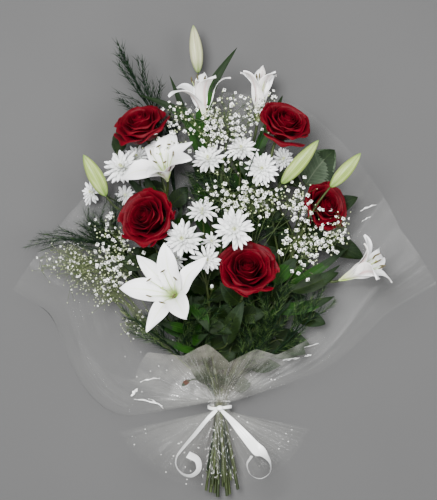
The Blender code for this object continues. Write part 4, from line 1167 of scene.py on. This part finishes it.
mumStalks = {1: (7, 8, 9, 14), 2: (1, 2, 3, 4, 5, 6), 3: (10, 11, 12, 13)}
mumBows = {7: Vector((8, 0, 0))}
closedHead = {"base": (-10, -58, 108), "facing": heading(0.0, 0.5, 0.86), "petals": 12, "reach": 10}


def makeMumStem(number):
    name = f"chrysanthemum_stem_{number}"
    draw = random.Random(90 + number)
    piece = bmesh.new()
    addStem(piece, name)
    top = stems[name][1][1]
    for key in mumStalks[number]:
        centre, facing, radius = heads[key]
        seat = Vector(centre) - facing * (radius * headSet["depth"] + 0.35)
        bow = mumBows.get(key, Vector((0, 0, 0)))
        addStalk(piece, name, top - 6, seat - facing * 2, facing, 1.4, bow)
        cup = ellipsoid(seat - facing * 2.6, (radius * 0.2, radius * 0.2, 2.6), facing, 12, 8)
        addTo(piece, cup, finish=0)
    if number == 2:
        # a head that is still closed, below the others
        base, facing = Vector(closedHead["base"]), closedHead["facing"]
        addStalk(piece, name, top - 30, base, facing, 1.2)
        addTo(piece, ellipsoid(base + facing * 2, (3.6, 3.6, 3), facing, 12, 8), finish=0)
        for index in range(closedHead["petals"]):
            petal = mumPetal(closedHead["reach"], 34 if index % 2 else 20, -14, 1.9, draw)
            addTo(piece, petal, pointing(base + facing * 1.5, facing, golden * index), 4)
    dressStem(piece, name, draw, -140, top + 10, 16, 44, 10, 0.7, notch=0.12)
    finishPiece(piece, f"mum_{number}_stalk", leafyFinishes["mum"], [name])


broadLeaves = (
    # (stem, root of the blade, tip, facing, half width, finish on top)
    (1, (132, 98, 48), (176, 152, 50), up, 27, 4),
    (1, (146, 20, 48), (222, -14, 44), heading(0.2, 0.2, 1), 17, 2),
    (1, (156, 60, 42), (212, 80, 42), up, 14, 2),
    (2, (116, -96, 48), (162, -112, 48), heading(0, 0.3, 1), 14, 2),
    (2, (96, -136, 40), (132, -158, 44), heading(0, 0.3, 1), 14, 2),
    (2, (108, -62, 72), (182, -34, 66), heading(0, 0.3, 1), 12, 2),
    (2, (84, -52, 78), (118, -10, 84), heading(0.2, 0, 1), 12, 5),
    (3, (-26, -104, 92), (22, -124, 98), heading(0, 0.2, 1), 11, 2),
    (3, (-44, -78, 92), (-14, -122, 104), heading(0, 0.2, 1), 10, 5),
    (3, (12, -142, 90), (38, -74, 108), heading(0, 0.2, 1), 13, 2),
    (3, (-44, -198, 38), (-56, -207, 38), heading(0, 0, 1), 4, 6),
)


def makeLeafStem(number):
    name = f"leaf_stem_{number}"
    draw = random.Random(110 + number)
    piece = bmesh.new()
    addStem(piece, name)
    top = stems[name][1][1]
    for owner, root, tip, facing, half, surface in broadLeaves:
        if owner == number:
            root, tip = Vector(root), Vector(tip)
            run = (tip - root).normalized()
            addStalk(piece, name, min(top - 6, root.y - 14), root + run * 4, run, 1.2)
            addLeaf(piece, draw, root, tip, half, facing, surface, grid=(12, 20))
    dressStem(piece, name, draw, -204, top, 13, 56, 14)
    finishPiece(piece, f"leaves_{number}", leafyFinishes["broad"], [name])


for number in roses:
    makeRoseStem(number)
for number in lilies:
    makeLilyStem(number)
for number in mumStalks:
    makeMumStem(number)
for number in (1, 2, 3):
    makeLeafStem(number)
print("stems and leaves")


# Gypsophila: wiry branches with round florets

spraySet = {
    "hubReach": 24,
    "twigRadius": 0.28,
    "hubs": 8,  # to each limb
    "group": 5,  # florets to each hub
    "limbRadii": (0.5, 0.35),
    "hubRadii": (0.42, 0.3),
    "lowest": 8,  # and highest, for limbs and hubs
    "highest": 160,
    "clearance": 4,  # of the table, for bends and florets
}
sprays = {
    # number: (size of an open floret, share still shut, clouds as (centre, radii, number of limbs))
    1: (2.9, 0.5, (
        ((-2, 194, 86), (60, 30, 18), 7),
        ((56, 212, 70), (22, 18, 10), 2),
        ((-78, 152, 98), (34, 12, 8), 1),
    )),
    2: (2.9, 0.5, (
        ((44, 76, 112), (64, 24, 14), 6),
        ((116, 66, 108), (32, 24, 12), 2),
        ((16, 118, 92), (60, 20, 14), 1),
    )),
    3: (1.7, 0.8, (
        ((-224, -22, 38), (42, 30, 10), 9),
        ((-166, -60, 44), (26, 22, 12), 4),
        ((-122, -112, 40), (18, 14, 10), 2),
    )),
    4: (2.8, 0.6, (((-156, -14, 78), (30, 34, 16), 5), ((-166, 30, 64), (22, 20, 12), 1))),
    5: (2.9, 0.5, (((134, 8, 100), (44, 30, 14), 4), ((184, 24, 90), (20, 22, 12), 2))),
}


def floretShape(around, petals, dish):  # a notched disc with a sunk heart
    bm = bmesh.new()
    bmesh.ops.create_uvsphere(bm, u_segments=around, v_segments=4, radius=1)
    for vert in bm.verts:
        angle = math.atan2(vert.co.y, vert.co.x)
        out = 1 + petals * math.cos(around / 2 * angle)
        if dish < 1 and vert.co.z > 0.5:
            out *= 0.62
        vert.co.x *= out
        vert.co.y *= out
        if vert.co.z > 0.9:
            vert.co.z = dish
        vert.co.z *= 0.8
    return bm


def openFloret():
    bm = floretShape(8, 0.16, 0.1)
    for face in bm.faces:
        face.material_index = 4 if len(face.verts) == 3 and face.calc_center_median().z > 0 else 2
    return shapeMesh(bm)


def insideBall(draw):
    while True:
        point = Vector([draw.uniform(-1, 1) for _ in range(3)])
        if point.length <= 1:
            return point


def twigMatrix(start, end, radius):
    shape = Matrix.Diagonal((radius, radius, (end - start).length, 1))
    return pointing(start, end - start) @ shape


def twigShape():
    bm = bmesh.new()
    bmesh.ops.create_cone(
        bm, cap_ends=True, segments=3, radius1=1, radius2=0.6, depth=1,
        matrix=Matrix.Translation((0, 0, 0.5)))
    return bm


def makeSpray(number):
    name = f"gypsophila_{number}"
    draw = random.Random(120 + number)
    piece = bmesh.new()
    addStem(piece, name, sides=8)
    top = stems[name][1][1]
    wide = openFloret()
    young = shapeMesh(floretShape(6, 0.0, 1.0), 3)
    twig = shapeMesh(twigShape(), 0)
    openSize, shut, clouds = sprays[number]

    def cloudPoint(start, radii, share):
        spot = start + Vector(a * b for a, b in zip(insideBall(draw), radii)) * share
        spot.z = min(max(spot.z, spraySet["lowest"]), spraySet["highest"])
        return spot

    def branch(start, end, radii, wander):  # bends up from its start and out to its end
        length = (end - start).length
        knee = start.lerp(end, 0.55) + Vector((0, 0.14 * length, 0)) + insideBall(draw) * wander
        knee.z = max(knee.z, spraySet["clearance"])
        addTo(piece, tubeOf([start, knee, end], radii, 4, 6), finish=0)
        return [start, knee, end]

    for centre, radii, limbs in clouds:
        for _ in range(limbs):
            limb = cloudPoint(Vector(centre), radii, 0.75)
            root = stemPoint(name, top - draw.uniform(2, 70))
            line = branch(root, limb, spraySet["limbRadii"], 12)
            for _ in range(spraySet["hubs"]):
                hub = cloudPoint(limb, radii, 0.8)
                branch(along(line, draw.uniform(0.6, 1)), hub, spraySet["hubRadii"], 5)
                for _ in range(spraySet["group"]):
                    away = insideBall(draw)
                    away.z = away.z * 0.6 + 0.15
                    tip = hub + away.normalized() * draw.uniform(0.25, 1) * spraySet["hubReach"]
                    tip.z = max(tip.z, spraySet["clearance"])
                    stamp(piece, twig, twigMatrix(hub, tip, spraySet["twigRadius"]))
                    opened = draw.random() > shut
                    size = openSize * draw.uniform(0.6, 1.15) * (1 if opened else 0.5)
                    face = (away.normalized() * 0.6 + up).normalized()
                    bloom = pointing(tip, face, draw.uniform(0, 360)) @ Matrix.Scale(size, 4)
                    stamp(piece, wide if opened else young, bloom)
    wood = "paleTwig" if number == 3 else "twig"
    finishes = [finish[kind] for kind in (wood, "cutEnd", "floret", "youngFloret", "floretHeart")]
    finishPiece(piece, f"spray_{number}", finishes, [name])


for number in sprays:
    makeSpray(number)
print("gypsophila")


# Ferns: plumes that leave the rib and bend out, feathered with long fine needles

fernSet = {
    "kinds": 6,  # of needle
    "needleRadius": 0.42,  # of a needle that is as long as the next value
    "needleLength": 12,
    "bare": 0.2,  # share of a plume with no needles
    "rows": 3,  # of needles: to the one side, ahead, and to the other
    "plumeRadii": (0.55, 0.25),
    "lowestTip": 10,
    "lowestNeedle": 5,
}
ferns = {
    # number: (end of the rib, its direction there, bow, angle of the needles, gap between them,
    #          their length, share of them lit, length of the plumes,
    #          clouds that the plumes end in as (centre, radii, number of plumes))
    1: ((-150, 306, 60), heading(-0.4, 0.9, 0.05), (0, 0, 0), 24, 11, (10, 24), 0, (60, 130), (
        ((-150, 306, 60), (6, 10, 6), 3),
        ((-148, 282, 60), (8, 18, 8), 6),
        ((-122, 284, 60), (10, 14, 8), 3),
        ((-96, 250, 60), (20, 12, 8), 5),
        ((-146, 232, 60), (14, 14, 8), 5),
        ((-78, 200, 72), (28, 22, 14), 16),
    )),
    2: ((70, 184, 132), heading(0.3, 0.9, 0.1), (0, 0, 7), 34, 2.6, (6, 15), 0.2, (60, 100), (
        ((20, 116, 88), (66, 34, 14), 15),
        ((74, 48, 92), (60, 36, 12), 12),
        ((-20, 30, 84), (56, 60, 14), 11),
        ((-44, 110, 66), (26, 28, 12), 14),
    )),
    3: ((-248, 22, 56), heading(-0.9, 0.35, 0.05), (0, 8, 0), 38, 3.4, (5, 14), 0.12, (50, 110), (
        ((-276, 12, 50), (26, 14, 8), 7),
        ((-222, 26, 58), (30, 26, 14), 12),
        ((-188, 40, 60), (34, 28, 14), 24),
        ((-164, 0, 60), (34, 36, 14), 20),
        ((-150, 74, 56), (22, 20, 10), 8),
    )),
    4: ((-126, -100, 98), heading(-0.7, 0.7, 0.1), (0, 0, 0), 34, 2.6, (7, 18), 0.3, (55, 90), (
        ((-112, -104, 66), (48, 34, 16), 10),
        ((-30, -92, 88), (52, 40, 14), 12),
        ((-20, -98, 112), (44, 30, 5), 9),
        ((-24, -150, 66), (46, 22, 14), 12),
    )),
    5: ((112, -70, 92), heading(0.7, 0.7, 0.1), (0, 0, 0), 34, 2.6, (7, 18), 0.34, (55, 90), (
        ((84, -66, 84), (60, 38, 12), 12),
        ((44, -96, 110), (50, 26, 6), 10),
        ((34, -112, 80), (52, 22, 12), 9),
        ((40, -152, 62), (44, 20, 14), 10),
    )),
    6: ((162, -92, 70), heading(0.9, 0.3, 0.05), (0, 0, 0), 34, 2.6, (7, 16), 0.26, (55, 90), (
        ((146, -60, 66), (40, 40, 14), 11),
        ((100, -124, 56), (48, 20, 12), 8),
    )),
}


def needleShape(draw):  # one unit long, bent a little and tapered
    bend = draw.uniform(-0.16, 0.16)
    line = [Vector((0, 0, 0)), Vector((bend * 0.25, 0, 0.5)), Vector((bend, 0, 1))]
    radius = fernSet["needleRadius"] / fernSet["needleLength"]

    def shape(side, share):
        turn = Matrix.Rotation(math.pi * side, 3, up)
        return along(line, share) + turn @ Vector((radius * (1.1 - share), 0, 0))

    bm = sheetOf(shape, 3, 2)
    bmesh.ops.remove_doubles(bm, verts=bm.verts, dist=1e-4)
    bmesh.ops.holes_fill(bm, edges=bm.edges)
    bmesh.ops.recalc_face_normals(bm, faces=bm.faces)
    return bm


def makeFern(number):
    name = f"fern_{number}"
    end, arrive, bow, angle, gap, needleLengths, lit, lengths, clouds = ferns[number]
    draw = random.Random(140 + number)
    piece = bmesh.new()
    neck = addStem(piece, name, Vector(end), arrive, 0.6, Vector(bow), 8)
    rib = [stemPoint(name, y) for y in range(-190, int(neck[0].y), 8)] + neck
    needles = {}
    for tone in (0, 2):  # their places among the finishes
        needles[tone] = [shapeMesh(needleShape(draw), tone) for _ in range(fernSet["kinds"])]

    def plume(root, tip, run):
        length = (tip - root).length
        knee = root.lerp(tip, 0.5) + run * 0.14 * length + insideBall(draw) * 6
        line = [root, knee, tip]
        addTo(piece, tubeOf(line, fernSet["plumeRadii"], 4, 8))
        bare = fernSet["bare"]
        count = int(length * (1 - bare) / gap)
        for index in range(count):
            share = mix(bare, 1, (index + 0.5) / count)
            spot = along(line, share)
            ahead = (along(line, min(share + 0.04, 1)) - along(line, share - 0.04)).normalized()
            for row in range(fernSet["rows"]):
                turn = math.radians((row - 1) * angle * draw.uniform(0.6, 1.3))
                out = Matrix.Rotation(turn, 3, up) @ ahead + up * draw.uniform(-0.2, 0.35)
                long = draw.uniform(*needleLengths) * mix(1.1, 0.7, share)
                if spot.z + out.z * long < fernSet["lowestNeedle"]:
                    out.z = 0.05
                tone = 2 if draw.random() < lit else 0
                place = pointing(spot, out, draw.uniform(0, 360)) @ Matrix.Scale(long, 4)
                stamp(piece, draw.choice(needles[tone]), place)

    for centre, radii, count in clouds:
        for _ in range(count):
            tip = Vector(centre) + Vector(a * b for a, b in zip(insideBall(draw), radii))
            tip.z = max(tip.z, fernSet["lowestTip"])
            wanted = draw.uniform(*lengths)

            # the plume leaves the rib where it can run on ahead to its end, at about the wanted length
            def unfit(place):
                away = tip - rib[place]
                onward = away.dot((rib[place] - rib[place - 1]).normalized())
                return abs(away.length - wanted) + 2 * max(0.5 * away.length - onward, 0)

            index = min(range(1, len(rib)), key=unfit)
            plume(rib[index], tip, (rib[index] - rib[index - 1]).normalized())
    finishes = (finish["needle"], finish["cutEnd"], finish["litNeedle"])
    finishPiece(piece, f"fern_{number}_frond", finishes, [name])


for number in ferns:
    makeFern(number)
print("ferns")


# Film wrap: rays from the waist, flat on the table behind and open in front

wrapSet = {
    "waist": bundleRadius + 3.4,
    "half": 7,
    "fan": 60,
    "frontLift": 46,
    "skirtFan": 78,
    "skirtLift": 13,
    "sideRise": 18,
    "sideFrom": 0.62,
    "liftCurve": 0.9,
    "rimCurve": 0.6,
    "sideLength": 320,
    "tableShare": 2.2,
    "skirtFront": 0.86,
    "backReach": (345, 352, 376, 430, 476, 470, 420, 375, 362),
    "frontReach": 118,
    "skirtReach": (142, 128, 118, 122, 124),
    "flatFrom": 70,
    # how far each corner of the front rim stands out, from right to left
    "rimCorners": (1, 1.02, 0.86, 1.2, 0.92, 1.04, 0.8, 1.16, 0.96, 1.12, 0.84, 1.06, 0.9, 1),
    "flare": (40, 12),  # how much wider the fan is near the tie, on the left and on the right
    "flareTo": (110, 290),  # the reach to which that holds, and at which it has gone
    "around": 256,
    "rows": 96,
    "skirtShare": 0.26,  # share of the rows at which the skirt ends
    "waistShare": 0.29,  # and at which the waist ends
    "rowCurve": 1.25,  # above 1, rows lie closer together near the waist
}
paintedGlints = (
    # painted highlights: white strips laid on the film where its folds catch the light: (start, end,
    # width)
    ((-121, -203), (-90, -197), 2),
    ((-134, -225), (-124, -213), 5),
    ((-130, -229), (-86, -239), 2.4),
    ((-108, -228), (-84, -243), 1.6),
    ((99, -170), (125, -166), 4),
    ((132, -164), (143, -161), 3),
    ((119, -156), (154, -144), 1.6),
    ((218, 60), (243, 70), 2.4),
    ((220, 43), (235, 52), 1.4),
    ((-232, 13), (-206, 0), 1),
)


def wrapPoint(around, side, share):
    middle, waist = tie["centre"], wrapSet["waist"]
    across, front = math.cos(around), max(math.sin(around), 0)
    back = max(-math.sin(around), 0)
    right = (across + 1) / 2
    if side > 0:
        outer = straight(wrapSet["backReach"], right)
        reach = share * mix(outer, wrapSet["frontReach"], front ** wrapSet["rimCurve"])
        held, gone = wrapSet["flareTo"]
        flare = mix(*wrapSet["flare"], right) * (1 - smooth((reach - held) / (gone - held)))
        turn, lift = math.radians(wrapSet["fan"] + flare) * across, math.radians(wrapSet["frontLift"])
    else:
        reach = share * straight(wrapSet["skirtReach"], right) * mix(1, wrapSet["skirtFront"], front)
        turn, lift = math.radians(wrapSet["skirtFan"]) * across, math.radians(wrapSet["skirtLift"])
    lift *= front ** wrapSet["liftCurve"]
    x = middle.x + waist * across + reach * math.sin(turn) * math.cos(lift)
    y = middle.y + side * (wrapSet["half"] + reach * math.cos(turn) * math.cos(lift))
    onTable = smooth(reach / wrapSet["flatFrom"]) * min(wrapSet["tableShare"] * back, 1)
    z = (middle.z + waist * math.sin(around)) * (1 - onTable) + reach * math.sin(lift)
    edge = max((abs(across) - wrapSet["sideFrom"]) / (1 - wrapSet["sideFrom"]), 0)
    z += wrapSet["sideRise"] * edge * smooth(reach / wrapSet["sideLength"])
    return Vector((x, y, z))


def wrapShape(across, share):
    around = math.pi * (across + 0.5)
    skirtEnd, waistEnd = wrapSet["skirtShare"], wrapSet["waistShare"]
    if share < skirtEnd:
        side = -1
        reach = 1 - share / skirtEnd
    elif share < waistEnd:
        side = mix(-1, 1, (share - skirtEnd) / (waistEnd - skirtEnd))
        reach = 0
    else:
        side = 1
        reach = ((share - waistEnd) / (1 - waistEnd)) ** wrapSet["rowCurve"]
        reach *= straight(wrapSet["rimCorners"], around / math.pi)
    point = wrapPoint(around, side, reach)
    if reach == 0:
        point.y = tie["centre"].y + side * wrapSet["half"]
    loose = smooth(0.75 + math.sin(around)) * reach
    folds = abs(math.sin(13 * around + 0.6)) + 0.6 * abs(math.sin(23.5 * around + 2 * reach))
    folds += 0.35 * math.sin(61 * around + 3 * reach)
    crumple = noise.noise(point / 34) + 0.5 * noise.noise(point / 12)
    point.z += loose * (4.2 * folds + 3 * crumple) + 0.7 * reach * (1 - loose) * abs(crumple)
    point.z = max(point.z, 0.1)
    return point


# the glints are painted highlights: thin white strips laid on the front of the skirt
glintSet = {
    "count": 110,  # tried, over the stems' feet
    "reach": (8, 104),  # from the tie
    "spread": 0.26,
    "length": (2, 6),
    "width": (0.25, 0.6),
    "lowest": 15,  # a glint is kept only if it lies on the front of the skirt, with no step in it
    "step": 3.5,
}


def paintedGlintOn(tree, start, end, width, grid=(4, 16), front=False):
    start, end = Vector((*start, 0)), Vector((*end, 0))
    aside = up.cross(end - start).normalized()
    line = [start, start.lerp(end, 0.5) + aside * 0.04 * (end - start).length, end]

    def shape(side, share):
        half = width / 2 * math.sin(math.pi * mix(0.04, 0.96, share)) ** 0.6
        half *= 0.5 + abs(math.sin(9 * share + start.x)) * 0.6
        spot = along(line, share) + aside * (side * half + 0.5 * math.sin(14 * share + start.y))
        # a long painted highlight strip takes its height from below, on the film's back, so it never steps
        # between layers
        hit = tree.ray_cast(Vector((spot.x, spot.y, 400 if front else -1)), -up if front else up)[0]
        return Vector((spot.x, spot.y, (hit.z if hit else 0.2) + 0.3 + 0.5 * (1 - abs(side))))

    return sheetOf(shape, *grid)


def glintsOn(tree, piece):
    draw = random.Random(160)
    for _ in range(glintSet["count"]):
        reach = draw.uniform(*glintSet["reach"])
        aside = draw.uniform(-1, 1) * (5 + glintSet["spread"] * reach)
        start = Vector((tie["centre"].x + aside, tie["centre"].y - wrapSet["half"] - reach))
        turn = math.radians(draw.uniform(-35, 35)) + 0.3 * aside / (reach + 20)
        end = start + Vector((math.sin(turn), -math.cos(turn))) * draw.uniform(*glintSet["length"])
        glint = paintedGlintOn(tree, start, end, draw.uniform(*glintSet["width"]), (2, 5), True)
        heights = [vert.co.z for vert in glint.verts]
        if min(heights) > glintSet["lowest"] and max(heights) - min(heights) < glintSet["step"]:
            addTo(piece, glint, finish=1)
        else:
            glint.free()


def makeFilm():
    bm = sheetOf(wrapShape, wrapSet["around"], wrapSet["rows"])
    bmesh.ops.remove_doubles(bm, verts=bm.verts, dist=0.01)
    tree = BVHTree.FromBMesh(bm)
    piece = bmesh.new()
    addTo(piece, bm)
    for start, end, width in paintedGlints:
        addTo(piece, paintedGlintOn(tree, start, end, width), finish=1)
    glintsOn(tree, piece)
    finishes = (finish["clearFilm"], finish["crease"])
    return finishPiece(piece, "film", finishes, ["film_wrap"], sharp=0)


film = makeFilm()
print("film")


# Twine and ribbon

ribbonSet = {
    "band": 4.5,  # gathered, round the waist
    "width": 18,  # laid flat
    "thickness": 0.4,
    "gap": 0.8,
    "knot": (5, 4, 4),
    "knotGap": 0.5,
}
ribbonTails = {
    # name: rows of (x, y, height over the film below, twist in degrees, share of the ribbon's width);
    # the share is under 1 only where the ribbon is gathered into the knot
    "ribbonTailRight": (
        (4, -243, 3.5, 0, 0.25),
        (20, -259, 4, 4, 0.5),
        (38, -279, 4, 6, 0.78),
        (56, -299, 5, 8, 1),
        (69, -309, 11, -60, 1),
        (78, -321, 12, -82, 1),
        (77, -335, 12, -85, 1),
        (64, -344, 12, -86, 1),
        (49, -338, 12, -86, 1),
        (43, -323, 12, -85, 1),
        (50, -310, 12, -82, 1),
    ),
    "ribbonTailLeft": (
        (-3, -243, 3.5, 20, 0.28),
        (-18, -258, 7, 60, 0.6),
        (-36, -279, 11, 75, 1),
        (-53, -298, 12, 80, 1),
        (-63, -312, 12, 84, 1),
        (-63, -326, 12, 82, 1),
        (-53, -337, 12, 74, 1),
        (-40, -339, 12, 67, 1),
        (-30, -330, 12, 64, 1),
        (-32, -316, 12, 62, 1),
        (-46, -308, 12, 60, 1),
    ),
}
twineSet = {"radius": 0.7, "gap": 0.3, "turns": 46, "strand": 0.36, "offset": 0.32}


def makeTwine():
    piece = bmesh.new()
    ring = bundleRadius + twineSet["radius"] + twineSet["gap"]
    offset, radii = twineSet["offset"], (twineSet["strand"], twineSet["strand"])
    place = pointing(tie["centre"], (0, 1, 0))
    for strand in range(2):
        points = []
        for step in range(361):
            angle = math.radians(step)
            twist = twineSet["turns"] * angle + math.pi * strand
            out = ring + offset * math.cos(twist)
            points.append(Vector((out * math.cos(angle), out * math.sin(angle), offset * math.sin(twist))))
        addTo(piece, tubeOf(points, radii, 5, 360), place)
    finishPiece(piece, "twine", (finish["jute"],), ["binding_twine"])


# the tails lie on the film as the frame has it
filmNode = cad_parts["film_wrap"].data
filmTree = BVHTree.FromPolygons(
    [vertex.co for vertex in filmNode.vertices], [face.vertices[:] for face in filmNode.polygons])


def heightOfFilm(x, y):
    hit = filmTree.ray_cast(Vector((x, y, 400)) * mm, -up)[0]
    return hit.z / mm if hit else 0


def tailLine(rows):
    points = []
    under = 0
    for x, y, above, _, _ in rows:
        # past the skirt's rim the curl keeps about the height that it had on the film
        under = max(heightOfFilm(x, y), under - 2)
        points.append(Vector((x, y, under + above)))
    return points


def lengthOf(points, count=200):
    spots = [along(points, index / count) for index in range(count + 1)]
    return sum((after - before).length for before, after in zip(spots, spots[1:]))


def ribbonTail(rows):
    points = tailLine(rows)
    twists = [twist for _, _, _, twist, _ in rows]
    widths = [ribbonSet["width"] * share for _, _, _, _, share in rows]

    def shape(side, share):
        spot = along(points, share)
        run = (along(points, min(share + 0.02, 1)) - along(points, max(share - 0.02, 0))).normalized()
        twist = Matrix.Rotation(math.radians(along(twists, share)), 3, run)
        flat = twist @ run.cross(up).normalized()
        # gathered into pleats where it leaves the knot
        pleat = 0.9 * math.cos(3.5 * math.pi * side) * (1 - smooth(share / 0.3))
        crown = flat.cross(run) * (0.5 * (1 - side * side) + pleat)
        return spot + flat * along(widths, share) / 2 * side + crown

    return thicken(sheetOf(shape, 12, 80), ribbonSet["thickness"])


def makeRibbon():
    piece = bmesh.new()
    middle = tie["centre"]
    outer = wrapSet["waist"] + ribbonSet["gap"]

    def band(side, share):
        angle = math.pi * side
        out = outer + 1 + 0.5 * math.sin(share * 17 + 2 * math.sin(angle)) + 0.3 * math.sin(3 * angle)
        slip = 1.2 * math.sin(2 * angle + 0.5)
        y = (share - 0.5) * ribbonSet["band"] + slip
        return Vector((math.cos(angle) * out, y, math.sin(angle) * out))

    wrapped = sheetOf(band, 64, 10)
    bmesh.ops.remove_doubles(wrapped, verts=wrapped.verts, dist=0.01)
    addTo(piece, thicken(wrapped, ribbonSet["thickness"]), Matrix.Translation(middle))
    knotHeight = wrapSet["waist"] + ribbonSet["knotGap"] + ribbonSet["knot"][2]
    addTo(piece, ellipsoid(middle + up * knotHeight, ribbonSet["knot"], up, 28, 16))
    finishPiece(piece, "satinRibbon", (finish["satin"],), ["ribbon"])
    for name, rows in ribbonTails.items():
        cut = bmesh.new()
        addTo(cut, ribbonTail(rows))
        tail = finishPiece(cut, name, (finish["satin"],), [])
        # as long as its own line, and as wide as the ribbon was cut
        flat = (ribbonSet["width"] * mm, lengthOf(tailLine(rows)) * mm)


makeTwine()
makeRibbon()
# the film's back lies flat on the table, so its cut is taken to be as wide and long as it spreads
print("twine and ribbon")
